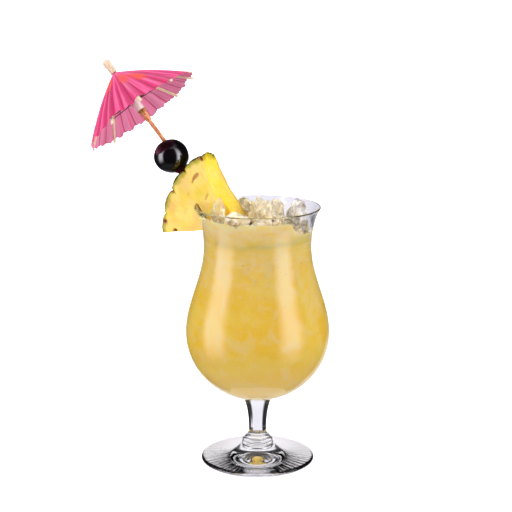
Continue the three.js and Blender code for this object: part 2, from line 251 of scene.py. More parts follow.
def swept(path: Sequence[Vector], width: float, thickness: float, across: Vector) -> Shell:
    """Makes a flat strip along a path that runs outwards.

    Args:
        path: The middle of the strip's lower face.
        width: The strip's width.
        thickness: The strip's thickness, above the path.
        across: The direction of the width.

    Returns:
        A closed strip.
    """
    points = []
    for index, point in enumerate(path):
        ahead = path[min(index + 1, len(path) - 1)] - path[max(index - 1, 0)]
        up = ahead.cross(across).normalized() * thickness
        side = across.normalized() * width / 2
        points += [point - side, point + side, point + side + up, point - side + up]
    sections = [range(first, first + 4) for first in range(0, len(points), 4)]
    return Shell(points, [tuple(sections[0])[::-1], *bridged(sections), tuple(sections[-1])])


def bezier(knots: Sequence[Pair], steps: int) -> Profile:
    """Gives points along a Bezier curve.

    Args:
        knots: The curve's control points. It starts at the first and ends at the last.
        steps: How many steps the curve has.

    Returns:
        The points, with both ends.
    """
    points = []
    for step in range(steps + 1):
        level = [Vector(knot) for knot in knots]
        while len(level) > 1:
            level = [a.lerp(b, step / steps) for a, b in zip(level, level[1:])]
        points.append((level[0].x, level[0].y))
    return points


def arc(middle: Pair, reach: Pair, start: float, end: float, steps: int) -> Profile:
    """Gives points along an arc of an ellipse.

    Args:
        middle: The ellipse's middle.
        reach: Its half sizes.
        start: The first angle in degrees.
        end: The last angle in degrees.
        steps: How many steps the arc has.

    Returns:
        The points, with both ends.
    """
    angles = [math.radians(lerp(start, end, step / steps)) for step in range(steps + 1)]
    return [(middle[0] + reach[0] * math.cos(a), middle[1] + reach[1] * math.sin(a)) for a in angles]


def store(mesh: Mesh, name: str, values: Sequence[float]) -> None:
    """Keeps one number for each point of a mesh, for its material to read."""
    mesh.attributes.new(name, "FLOAT", "POINT").data.foreach_set("value", values)


def store_vectors(mesh: Mesh, name: str, values: Iterable[Vector]) -> None:
    """Keeps one vector for each point of a mesh, for its material to read."""
    flat = [number for value in values for number in value]
    mesh.attributes.new(name, "FLOAT_VECTOR", "POINT").data.foreach_set("vector", flat)


def piece(name: str, mesh: Mesh, material: Material, slot: str, nodes: Sequence[str] = ()) -> Object:
    """Shows a mesh as a finished piece of the part.

    Args:
        name: The piece's name.
        mesh: Its mesh, already in place.
        material: Its material.
        slot: The name of its finish's slot, which is only logged.
        nodes: The model's nodes that it stands for.

    Returns:
        The piece's object.
    """
    item = bpy.data.objects.new(name, mesh)
    bpy.context.scene.collection.objects.link(item)
    mesh.materials.clear()
    mesh.materials.append(material)
    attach(item, "root")
    if nodes:
        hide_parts(*nodes)
    log.info("%s: %d faces, in slot %s", name, len(mesh.polygons), slot)
    return item


def evaluated(mesh: Mesh, kind: str, inputs: dict[str, Any] | None = None, **settings: Any) -> Mesh:
    """Gives the plain mesh that a modifier makes of another mesh.

    Args:
        mesh: The mesh to start from.
        kind: The modifier's type.
        inputs: A value for each named input of its Geometry Nodes tree, where it has one.
        **settings: The modifier's settings.

    Returns:
        The plain mesh.
    """
    helper = bpy.data.objects.new("helper", mesh)
    modifier = helper.modifiers.new("shaping", kind)
    for name, value in settings.items():
        setattr(modifier, name, value)
    for item in modifier.node_group.interface.items_tree if inputs else ():
        if item.in_out == "INPUT" and item.name in inputs:
            modifier[item.identifier] = inputs[item.name]
    bpy.context.scene.collection.objects.link(helper)
    depsgraph = bpy.context.evaluated_depsgraph_get()
    result = bpy.data.meshes.new_from_object(
        helper.evaluated_get(depsgraph), preserve_all_data_layers=True, depsgraph=depsgraph
    )
    helper.modifiers.clear()
    bpy.data.objects.remove(helper)
    return result


def remeshed(node: str, voxel: float) -> Mesh:
    """Gives a copy of a node's solid with fine, even faces that relief can be pressed into.

    Args:
        node: The node's name.
        voxel: The size of the new faces in millimetres.

    Returns:
        The new mesh, in metres.
    """
    sketch = bmesh.new()
    sketch.from_mesh(frame["nodes"][node].data)
    bmesh.ops.remove_doubles(sketch, verts=sketch.verts, dist=1e-6)
    mesh = bpy.data.meshes.new(node)
    sketch.to_mesh(mesh)
    sketch.free()
    return evaluated(mesh, "REMESH", mode="VOXEL", voxel_size=voxel * MM, use_smooth_shade=True)


# Geometry Nodes trees


class Grain(Enum):
    """The shapes that can be scattered."""

    CRACKED = "cracked"
    ROUND = "round"


def begin_tree(
    name: str, sizes: Sequence[str], counts: Sequence[str] = ()
) -> tuple[NodeTree, dict[str, NodeSocket]]:
    """Starts a Geometry Nodes tree that takes geometry, sizes, counts and a material.

    Args:
        name: The tree's name.
        sizes: The names of the inputs that take a size.
        counts: The names of the inputs that take a whole number.

    Returns:
        The tree, and the sockets of its inputs by name.
    """
    tree = bpy.data.node_groups.new(name, "GeometryNodeTree")
    kinds = {"Geometry": "Geometry", **dict.fromkeys(sizes, "Float"), **dict.fromkeys(counts, "Int")}
    for label, kind in {**kinds, "Material": "Material"}.items():
        tree.interface.new_socket(label, in_out="INPUT", socket_type=f"NodeSocket{kind}")
    tree.interface.new_socket("Geometry", in_out="OUTPUT", socket_type="NodeSocketGeometry")
    return tree, {socket.name: socket for socket in add(tree, "NodeGroupInput").outputs}


def end_tree(tree: NodeTree, instances: Node, material: NodeSocket, smooth: bool) -> NodeTree:
    """Ends a tree by making its instances real and giving them their material.

    Args:
        tree: The tree.
        instances: The last node so far.
        material: The material's socket.
        smooth: Whether the faces are shaded smooth.

    Returns:
        The finished tree.
    """
    real = add(tree, "GeometryNodeRealizeInstances", {"Geometry": instances})
    shaded = add(tree, "GeometryNodeSetShadeSmooth", {"Geometry": real, "Shade Smooth": smooth})
    dressed = add(tree, "GeometryNodeSetMaterial", {"Geometry": shaded, "Material": material})
    add(tree, "NodeGroupOutput", {"Geometry": dressed})
    return tree


def cracked_shapes(tree: NodeTree, kinds: int, corners: int) -> Node:
    """Makes a few unlike splinters, each the hull of random points.

    Args:
        tree: The tree that they are made in.
        kinds: How many splinters there are.
        corners: How many points each hull has.

    Returns:
        The node that gives the splinters as instances.
    """
    joined = add(tree, "GeometryNodeJoinGeometry")
    for kind in range(kinds):
        limits = {0: (-0.5, -0.5, -0.5), 1: (0.5, 0.5, 0.5), "Seed": kind}
        spot = add(tree, "FunctionNodeRandomValue", limits, data_type="FLOAT_VECTOR")
        cloud = add(tree, "GeometryNodePoints", {"Count": corners, "Position": spot})
        hull = add(tree, "GeometryNodeConvexHull", {"Geometry": cloud})
        single = add(tree, "GeometryNodeGeometryToInstance", {"Geometry": hull})
        tree.links.new(single.outputs[0], joined.inputs[0])
    return joined


def scatter_tree(grain: Grain) -> NodeTree:
    """Builds the tree that scatters grains over a surface, by the surface's density attribute.

    Args:
        grain: The grains' shape.

    Returns:
        The tree.
    """
    kinds, corners = 7, 13
    sizes = ("Spacing", "Density", "Smallest", "Largest", "Flatness", "Sink")
    tree, given = begin_tree(f"scattered_{grain.value}", sizes, ("Seed",))
    wanted = add(tree, "GeometryNodeInputNamedAttribute", {"Name": "density"}, data_type="FLOAT")
    spread = add(
        tree, "GeometryNodeDistributePointsOnFaces",
        {
            "Mesh": given["Geometry"], "Distance Min": given["Spacing"], "Density Max": given["Density"],
            "Density Factor": wanted, "Seed": given["Seed"],
        },
        distribute_method="POISSON",
    )
    sunk = add(tree, "VectorMath", {0: spread.outputs["Normal"], "Scale": given["Sink"]}, operation="SCALE")
    moved = add(tree, "GeometryNodeSetPosition", {"Geometry": spread, "Offset": sunk})
    limits = {2: given["Smallest"], 3: given["Largest"], "Seed": given["Seed"]}
    size = add(tree, "FunctionNodeRandomValue", limits, data_type="FLOAT").outputs[1]
    if grain is Grain.CRACKED:
        shapes = cracked_shapes(tree, kinds, corners)
        limits = {4: 0, 5: kinds - 1, "Seed": 4}
        pick = add(tree, "FunctionNodeRandomValue", limits, data_type="INT").outputs[2]
        limits = {0: (0, 0, 0), 1: (math.tau, math.tau, math.tau), "Seed": 9}
        turn = add(tree, "FunctionNodeRandomValue", limits, data_type="FLOAT_VECTOR")
        placing = {"Pick Instance": True, "Instance Index": pick, "Rotation": turn}
    else:
        shapes = add(tree, "GeometryNodeMeshIcoSphere", {"Radius": 0.5, "Subdivisions": 2})
        placing = {"Rotation": spread.outputs["Rotation"]}
    flat = add(tree, "Math", {0: size, 1: given["Flatness"]}, operation="MULTIPLY")
    scale = add(tree, "CombineXYZ", {"X": size, "Y": size, "Z": flat})
    placed = add(
        tree, "GeometryNodeInstanceOnPoints", {"Points": moved, "Instance": shapes, "Scale": scale, **placing}
    )
    return end_tree(tree, placed, given["Material"], grain is Grain.ROUND)


def spoke_tree() -> NodeTree:
    """Builds the tree that lays a strip under the canopy along each spoke of a ring of points.

    Returns:
        The tree. It reads each point's turn and stretch attributes, and works in millimetres.
    """
    tree, given = begin_tree("spokes", ("Start", "Radius", "Drop", "Bow", "Below", "Width", "Thickness"))
    start, end = (add(tree, "CombineXYZ", {"X": given[name]}) for name in ("Start", "Radius"))
    line = add(tree, "GeometryNodeCurvePrimitiveLine", {"Start": start, "End": end})
    fine = add(tree, "GeometryNodeResampleCurve", {"Curve": line, "Count": 24})
    along = add(tree, "SeparateXYZ", {0: add(tree, "GeometryNodeInputPosition")})
    share = add(tree, "Math", {0: along, 1: given["Radius"]}, operation="DIVIDE")
    fall = add(tree, "Math", {0: share, 1: given["Drop"]}, operation="MULTIPLY")
    height = share
    for operation, other in (
        ("MULTIPLY", math.pi), ("SINE", 0.0), ("MULTIPLY", given["Bow"]), ("SUBTRACT", fall),
        ("SUBTRACT", given["Below"]),
    ):
        height = add(tree, "Math", {0: height, 1: other}, operation=operation)
    shift = add(tree, "CombineXYZ", {"Z": height})
    bent = add(tree, "GeometryNodeSetPosition", {"Geometry": fine, "Offset": shift})
    sizes = {"Width": given["Width"], "Height": given["Thickness"]}
    section = add(tree, "GeometryNodeCurvePrimitiveQuadrilateral", sizes)
    strip = add(tree, "GeometryNodeCurveToMesh", {"Curve": bent, "Profile Curve": section, "Fill Caps": True})
    turn, stretch = (
        add(tree, "GeometryNodeInputNamedAttribute", {"Name": name}, data_type="FLOAT_VECTOR")
        for name in ("turn", "stretch")
    )
    placed = add(
        tree, "GeometryNodeInstanceOnPoints",
        {"Points": given["Geometry"], "Instance": strip, "Rotation": turn, "Scale": stretch},
    )
    return end_tree(tree, placed, given["Material"], False)


# Finishes


@dataclass(frozen=True)
class Finish:
    """A real material, with a method that builds its shader."""

    name: str

    def shader(self, tree: NodeTree) -> Node:
        """Builds the shader in a material's tree, and returns its last node."""
        raise NotImplementedError

    def build(self) -> Material:
        """Makes the material, with its shader linked to its output.

        Returns:
            The material.
        """
        material = bpy.data.materials.new(self.name)
        material.use_nodes = True
        tree = material.node_tree
        tree.nodes.clear()
        add(tree, "OutputMaterial", {"Surface": self.shader(tree)})
        return material


@dataclass(frozen=True)
class PressedGlass(Finish):
    """Soda-lime glass pressed in a mould: clear, with a faint long wave, and fine streaks in the foot."""

    name: str = "pressed_soda_lime_glass"
    tint: str = "#fbfbfd"
    wave: float = 22
    wavy_from: Pair = (30, 70)
    streaks_round: float = 16
    streak_length: float = 26
    streaks_below: Pair = (6, 4.5)
    streaks_beyond: Pair = (15, 22)

    def shader(self, tree: NodeTree) -> Node:
        """Builds a clear refracting shader with a wavy wall and a streaky foot."""
        place = millimetres(tree)
        axes = add(tree, "SeparateXYZ", {0: place})
        across, back, height = axes.outputs
        wave = add(tree, "TexNoise", {"Vector": place, "Scale": 1 / self.wave, "Detail": 1.0})
        low, high = self.wavy_from
        in_bowl = add(tree, "MapRange", {0: height, 1: low, 2: high, 4: 0.25}, **EASED)
        bump = add(tree, "Bump", {"Strength": in_bowl, "Distance": 0.35 * MM, "Height": wave})
        turn = add(tree, "Math", {0: back, 1: across}, operation="ARCTAN2")
        away = add(tree, "VectorMath", {0: place}, operation="LENGTH").outputs["Value"]
        round_it = add(tree, "Math", {0: turn, 1: self.streaks_round}, operation="MULTIPLY")
        outwards = add(tree, "Math", {0: away, 1: self.streak_length}, operation="DIVIDE")
        polar = add(tree, "CombineXYZ", {"X": round_it, "Y": outwards})
        streaks = add(tree, "TexNoise", {"Vector": polar, "Scale": 1.0, "Detail": 3.0})
        top, foot = self.streaks_below
        flat = add(tree, "MapRange", {0: height, 1: top, 2: foot}, **EASED)
        start, full = self.streaks_beyond
        clear_of_knop = add(tree, "MapRange", {0: away, 1: start, 2: full, 4: 0.24}, **EASED)
        strength = add(tree, "Math", {0: flat, 1: clear_of_knop}, operation="MULTIPLY")
        relief = {"Strength": strength, "Distance": 0.5 * MM, "Height": streaks, "Normal": bump}
        return add(tree, "BsdfPrincipled", {
            "Base Color": linear(self.tint), "Roughness": 0.0, "IOR": 1.47, "Transmission Weight": 1.0,
            "Normal": add(tree, "Bump", relief),
        })


@dataclass(frozen=True)
class CloudyJuice(Finish):
    """Pineapple juice with cream: light goes some way in, so its edges glow and lumps show softly."""

    name: str = "cloudy_fruit_juice"
    deep: str = "#fdd452"
    golden: str = "#fddb66"
    milky: str = "#fde09a"
    settled: str = "#fcda90"
    slush: str = "#fdeabc"
    fleck: str = "#fff2d0"
    patch: float = 17
    lump: float = 13
    shard: float = 7.5
    chunk: float = 9
    pulp: float = 1.3
    # The heights where it settles, pales, froths and is full of ice: where each starts and where it is full
    settles: Pair = (84, 40)
    pales: Pair = (100, 140)
    froths: Pair = (137, 150)
    iced: Pair = (96, 138)
    # How far light goes in near the top and below, and the heights between them
    reach: Pair = (2.5, 6)
    reach_between: Pair = (138, 118)

    def shader(self, tree: NodeTree) -> Node:
        """Builds a cloudy, scattering shader with soft patches of sunk ice, and ice wisps near the top."""
        place = millimetres(tree)
        height = add(tree, "SeparateXYZ", {0: place}).outputs[2]
        flat = add(tree, "Mapping", {"Vector": place, "Scale": (1.0, 1.0, 2.2)})
        patch, lumps, wisps, pulp = (
            add(tree, "TexNoise", {
                "Vector": vector, "Scale": 1 / size, "Detail": detail, "Roughness": rough,
                "Distortion": twist,
            })
            for vector, size, detail, rough, twist in (
                (place, self.patch, 2.0, 0.4, 0.6), (place, self.lump, 3.0, 0.55, 1.2),
                (flat, self.shard, 3.0, 0.5, 0.5), (place, self.pulp, 3.0, 0.5, 0.0),
            )
        )
        cells = {"Vector": flat, "Scale": 1 / self.chunk, "Smoothness": 0.9}
        chunks = add(tree, "TexVoronoi", cells, feature="SMOOTH_F1").outputs["Color"]
        iced = add(tree, "MapRange", {0: height, 1: self.iced[0], 2: self.iced[1]}, **EASED)
        colour = coated(
            tree, self.deep,
            Coat(self.golden, patch, 0.4, 0.62),
            Coat(self.milky, lumps, 0.46, 0.68, 0.6),
            Coat(self.settled, height, *self.settles, 0.7),
            Coat(self.milky, height, *self.pales, 0.45),
            Coat(self.slush, height, *self.froths, 0.85),
            Coat(self.milky, add(tree, "SeparateXYZ", {0: chunks}), 0.4, 0.7, 0.6, iced),
            Coat(self.fleck, wisps, 0.53, 0.7, 0.25, iced),
            Coat(self.deep, wisps, 0.47, 0.32, 0.4, iced),
            Coat(self.fleck, pulp, 0.55, 0.75, 0.15),
        )
        (top, low), (short, far) = self.reach_between, self.reach
        reach = add(tree, "MapRange", {0: height, 1: top, 2: low, 3: short * MM, 4: far * MM})
        bump = add(tree, "Bump", {"Strength": 0.3, "Distance": 0.2 * MM, "Height": pulp})
        return add(tree, "BsdfPrincipled", {
            "Base Color": colour, "Roughness": 0.35, "IOR": 1.35, "Specular IOR Level": 0.2,
            "Subsurface Weight": 1.0, "Subsurface Radius": (1.0, 0.85, 0.45), "Subsurface Scale": reach,
            "Normal": bump,
        })


@dataclass(frozen=True)
class CrackedIce(Finish):
    """Wet cracked ice: clear in places, and milky where air froze into it or drink soaked its cracks."""

    name: str = "wet_cracked_ice"
    clear: str = "#fdfcf8"
    cloud: str = "#ece6d8"
    speck: str = "#5c4c36"
    cloud_size: float = 4.5
    grain: float = 1.5
    clearness: float = 0.8
    specks: float = 0.6
    closes_at: float = 0.42
    relief: float = 0.7
    reach: float = 2.5
    bend: float = 1.31
    crack: float = 2.6

    def shader(self, tree: NodeTree) -> Node:
        """Builds milky, light-scattering grains with clear windows and a few dark specks between them."""
        place = millimetres(tree)
        cloud = add(tree, "TexNoise", {"Vector": place, "Scale": 1 / self.cloud_size, "Detail": 3.0})
        cracks = {"Vector": place, "Scale": 1 / self.crack, "Detail": 4.0, "Distortion": 1.5}
        crack = add(tree, "TexNoise", cracks)
        cells = {"Vector": place, "Scale": 1 / self.grain, "Smoothness": 0.4}
        grains = add(tree, "TexVoronoi", cells, feature="SMOOTH_F1")
        tone = add(tree, "SeparateXYZ", {0: grains.outputs["Color"]})
        colour = coated(
            tree, self.cloud,
            Coat(self.clear, tone, 0.1, 0.9),
            Coat(self.speck, crack, 0.66, 0.71, self.specks),
        )
        opening = {0: cloud, 1: self.closes_at, 2: self.closes_at + 0.2, 4: self.clearness}
        bump = add(tree, "Bump", {"Strength": self.relief, "Distance": -0.3 * MM, "Height": grains})
        return add(tree, "BsdfPrincipled", {
            "Base Color": colour, "Roughness": 0.12, "IOR": self.bend,
            "Transmission Weight": add(tree, "MapRange", opening, **EASED),
            "Subsurface Weight": 0.9, "Subsurface Radius": (1.0, 0.92, 0.75),
            "Subsurface Scale": self.reach * MM, "Coat Weight": 1.0, "Coat Roughness": 0.04, "Coat IOR": 1.4,
            "Normal": bump, "Coat Normal": bump,
        })


@dataclass(frozen=True)
class PineappleFlesh(Finish):
    """Ripe pineapple: wet fibres that run out from the core, a green-yellow rim and a woody brown rind."""

    name: str = "ripe_pineapple"
    pale: str = "#efd468"
    ripe: str = "#ebcf48"
    blush: str = "#ecc468"
    core: str = "#f2cc24"
    amber: str = "#dcb23c"
    dried: str = "#c48f48"
    green: str = "#a49a10"
    rind: str = "#4a4714"
    olive: str = "#77701e"
    woody: str = "#53301a"
    pith: str = "#c4874a"
    fibre: float = 0.9
    patch: float = 9
    warmth: float = 15
    mottle: float = 1.6
    scale: float = 7

    def shader(self, tree: NodeTree) -> Node:
        """Builds the flesh along its fibres, and the rind over it."""
        rind, pit, side, brow, edge = kept(tree, "rind", "pit", "side", "border", "edge")
        along = add(tree, "Attribute", attribute_name="fibre").outputs["Vector"]
        drawn = (self.fibre, 4 * self.fibre, 14 * self.fibre)
        stretch = add(tree, "Mapping", {"Vector": along, "Scale": drawn}, vector_type="TEXTURE")
        place = millimetres(tree)
        threads, patch, warm, fine = (
            add(tree, "TexNoise", {
                "Vector": vector, "Scale": 1 / size, "Detail": detail, "Distortion": twist,
            })
            for vector, size, detail, twist in (
                (stretch, 1, 3.0, 0.0), (place, self.patch, 2.0, 0.5), (place, self.warmth, 1.0, 0.0),
                (place, self.mottle, 4.0, 0.0),
            )
        )
        scale = add(tree, "TexVoronoi", {"Vector": place, "Scale": 1 / self.scale}, feature="F1")
        cored = add(tree, "Math", {0: side, 1: 0.15, 2: brow}, operation="MULTIPLY_ADD", use_clamp=True)
        skin = coated(
            tree, self.olive, Coat(self.rind, scale, 0.2, 0.6), Coat(self.woody, fine, 0.5, 0.66)
        )
        colour = coated(
            tree, self.ripe,
            Coat(self.pale, patch, 0.38, 0.6),
            Coat(self.blush, warm, 0.5, 0.68, 0.8),
            Coat(self.core, cored),
            Coat(self.amber, threads, 0.5, 0.72, 0.45),
            Coat(self.dried, edge),
            Coat(self.green, rind, 0.25, 0.85, 0.9),
            Coat(skin, rind, 0.86, 0.97),
            Coat(self.pith, pit, 0.05, 0.5),
            Coat(self.woody, pit, 0.7, 1.0, 0.85),
        )
        rough = add(tree, "MapRange", {0: fine, 1: 0.35, 2: 0.7, 3: 0.2, 4: 0.55}, **EASED)
        bump = add(tree, "Bump", {"Strength": 0.3, "Distance": 0.2 * MM, "Height": threads})
        return add(tree, "BsdfPrincipled", {
            "Base Color": colour, "Roughness": rough, "IOR": 1.38, "Specular IOR Level": 0.2,
            "Subsurface Weight": 0.8, "Subsurface Radius": (1.0, 0.75, 0.25), "Subsurface Scale": 3 * MM,
            "Coat Weight": 0.12, "Coat Roughness": 0.1, "Normal": bump,
        })


@dataclass(frozen=True)
class PreservedCherry(Finish):
    """A black cherry kept in syrup: a nearly black skin under a sticky gloss, dark red where it splits."""

    name: str = "black_cherry_in_syrup"
    skin: str = "#050102"
    bloom: str = "#0e050b"
    pulp: str = "#4a0b10"
    bloom_size: float = 9
    dimple: float = 3
    # Painted shade: less coat where the skin faces up or down, dimming the floor's and top light's
    # reflections
    shaded_gloss_between: Pair = (0.25, 0.75)
    shaded_gloss_weight: float = 0.2

    def shader(self, tree: NodeTree) -> Node:
        """Builds a dark skin with a syrup coat, and red pulp where the split attribute says."""
        place = millimetres(tree)
        (split,) = kept(tree, "split")
        bloom = add(tree, "TexNoise", {"Vector": place, "Scale": 1 / self.bloom_size, "Detail": 2.0})
        dimple = add(tree, "TexNoise", {"Vector": place, "Scale": 1 / self.dimple, "Detail": 1.0})
        colour = coated(tree, self.skin, Coat(self.bloom, bloom, 0.45, 0.8), Coat(self.pulp, split))
        normal = add(tree, "SeparateXYZ", {0: add(tree, "NewGeometry").outputs["Normal"]}).outputs[2]
        steep = add(tree, "Math", {0: normal}, operation="ABSOLUTE")
        upright, level = self.shaded_gloss_between
        # Painted shade: the coat weight falls where the skin faces up or down, darkening its top and bottom
        syrup = add(tree, "MapRange", {0: steep, 1: upright, 2: level, 3: 1.0, 4: self.shaded_gloss_weight})
        bump = add(tree, "Bump", {"Strength": 0.2, "Distance": 0.12 * MM, "Height": dimple})
        return add(tree, "BsdfPrincipled", {
            "Base Color": colour, "Roughness": 0.35, "IOR": 1.45, "Specular IOR Level": 0.05,
            "Coat Weight": syrup, "Coat Roughness": 0.08, "Coat IOR": 1.8,
            "Normal": bump, "Coat Normal": bump,
        })


@dataclass(frozen=True)
class Grained(Finish):
    """A fibrous finish whose grain runs along a piece, such as wood, rolled paper or bamboo."""

    name: str
    light: str
    dark: str
    fleck: str
    grain: float
    length: float
    frame: Matrix
    flecks: float = 0.5
    rough: float = 0.65

    def shader(self, tree: NodeTree) -> Node:
        """Builds a grain along the Z axis of the finish's own frame, with darker flecks."""
        place = millimetres(tree)
        drawn = add(
            tree, "Mapping",
            {
                "Vector": place, "Location": self.frame.to_translation(), "Rotation": self.frame.to_euler(),
                "Scale": (self.grain, self.grain, self.length),
            },
            vector_type="TEXTURE",
        )
        grain = add(tree, "TexNoise", {"Vector": drawn, "Scale": 1.0, "Detail": 4.0})
        spots = add(tree, "TexNoise", {"Vector": place, "Scale": 3 / self.length, "Detail": 3.0})
        spotted = add(tree, "MapRange", {0: spots, 1: 0.45, 2: 0.6, 4: self.flecks}, **EASED)
        colour = coated(
            tree, self.light,
            Coat(self.dark, grain, 0.35, 0.65),
            Coat(self.fleck, grain, 0.5, 0.7, within=spotted),
        )
        bump = add(tree, "Bump", {"Strength": 0.5, "Distance": 0.08 * MM, "Height": grain})
        return add(tree, "BsdfPrincipled", {
            "Base Color": colour, "Roughness": self.rough, "IOR": 1.5, "Specular IOR Level": 0.3,
            "Normal": bump,
        })


@dataclass(frozen=True)
class TissuePaper(Finish):
    """Dyed tissue paper with brushed patches, thin enough to glow, with painted light and shade on pleats and
    ribs.
    """

    name: str = "dyed_tissue_paper"
    ridge: str = "#e65688"
    slope: str = "#c62a62"
    valley: str = "#8c1038"
    light: str = "#ee7a9e"
    inner: str = "#cc8298"
    shaded: str = "#a81650"
    paint: str = "#f24a26"
    shadow: str = "#7d4a44"
    fibre: float = 0.7

    def shader(self, tree: NodeTree) -> Node:
        """Builds the paper from its fold, rib, paint and pleat shade attributes, painting light and shade
        from them.
        """
        fold, rib, paint, inside, pleat_shade = kept(tree, "fold", "rib", "paint", "inside", "pleat_shade")
        polar = add(tree, "Attribute", attribute_name="polar").outputs["Vector"]
        creases, broad, fibre = (
            add(tree, "TexNoise", {"Vector": vector, "Scale": scale, "Detail": detail})
            for vector, scale, detail in (
                (polar, 1.0, 3.0), (polar, 0.45, 1.0), (millimetres(tree), 1 / self.fibre, 4.0),
            )
        )
        brushed = add(tree, "MapRange", {0: creases, 1: 0.32, 2: 0.55, 4: 0.9}, **EASED)
        # Painted light and shade: ridges lighter, slopes, noise creases and valleys darker, one side of each
        # pleat shaded
        outer = coated(
            tree, self.ridge,
            Coat(self.slope, fold, 0.0, 0.7),
            Coat(self.light, broad, 0.5, 0.7, 0.6),
            Coat(self.slope, creases, 0.52, 0.72, 0.5),
            Coat(self.shaded, pleat_shade, 0.25, 1.0, 0.75),
            Coat(self.valley, fold, 0.78, 1.0, 0.9),
            Coat(self.light, fibre, 0.5, 0.8, 0.2),
            Coat(self.paint, paint, within=brushed),
        )
        # Painted shade: the lining is a darker, greyer mauve for the shaded underside, darker again in folds
        # and on pleat sides
        shaded_lining = coated(
            tree, self.inner,
            Coat(self.valley, fold, 0.18, 0.0, 0.8),
            Coat(self.shaded, pleat_shade, 0.25, 1.0, 0.3),
            Coat(self.slope, creases, 0.5, 0.75, 0.4),
        )
        # Painted shadow of each rib under the paper
        shade = add(tree, "Math", {0: rib, 1: 0.22}, operation="MULTIPLY")
        colour = coated(tree, outer, Coat(shaded_lining, inside), Coat(self.shadow, shade))
        bump = add(tree, "Bump", {"Strength": 0.8, "Distance": 0.2 * MM, "Height": creases})
        return add(tree, "BsdfPrincipled", {
            "Base Color": colour, "Roughness": 0.7, "IOR": 1.45, "Specular IOR Level": 0.2,
            "Subsurface Weight": 0.6, "Subsurface Radius": (1.0, 0.6, 0.8), "Subsurface Scale": 0.7 * MM,
            "Sheen Weight": 0.1, "Normal": bump,
        })


@dataclass(frozen=True)
class CutCard(Finish):
    """Thin card: a soft matt face, and a darker cut edge where the edge attribute says."""

    name: str
    face: str
    speck: str
    edge: str
    speck_size: float = 1.1

    def shader(self, tree: NodeTree) -> Node:
        """Builds a specked card with dark edges."""
        (edge,) = kept(tree, "edge")
        specks = {"Vector": millimetres(tree), "Scale": 1 / self.speck_size, "Detail": 4.0}
        speck = add(tree, "TexNoise", specks)
        colour = coated(tree, self.face, Coat(self.speck, speck, 0.5, 0.68), Coat(self.edge, edge))
        bump = add(tree, "Bump", {"Strength": 0.35, "Distance": 0.06 * MM, "Height": speck})
        return add(tree, "BsdfPrincipled", {
            "Base Color": colour, "Roughness": 0.82, "Specular IOR Level": 0.25, "Normal": bump,
        })


SOAKED_ICE = CrackedIce(
    "drink_soaked_ice", "#fcf2d4", "#f0dfb4", "#7a6238", 4.0, 1.1, 0.45, 0.45, relief=0.5, reach=2.5
)
CRUSHED_ICE = CrackedIce(
    "drink_soaked_crushed_ice", "#fbf1d6", "#eedcb0", "#7a6238", 3.0, 1.1, 0.25, 0.3, reach=0.7
)
WASHED_ICE = CrackedIce(
    "drink_washed_ice", "#fffbe8", "#fdf4cc", "#d8b870", 5.0, 1.6, 0.85, 0.2, 0.3, 0.4, 4.0, bend=1.12
)
CLEAR_ICE = CrackedIce(clearness=0.85, closes_at=0.36, relief=0.4, bend=1.2)
TRAPPED_AIR = CrackedIce("trapped_air", "#fff0c4", "#f6d890", "#e8c070", 1.0, 0.6, 0.0, 0.1, reach=0.2)


# The glass and what is in it


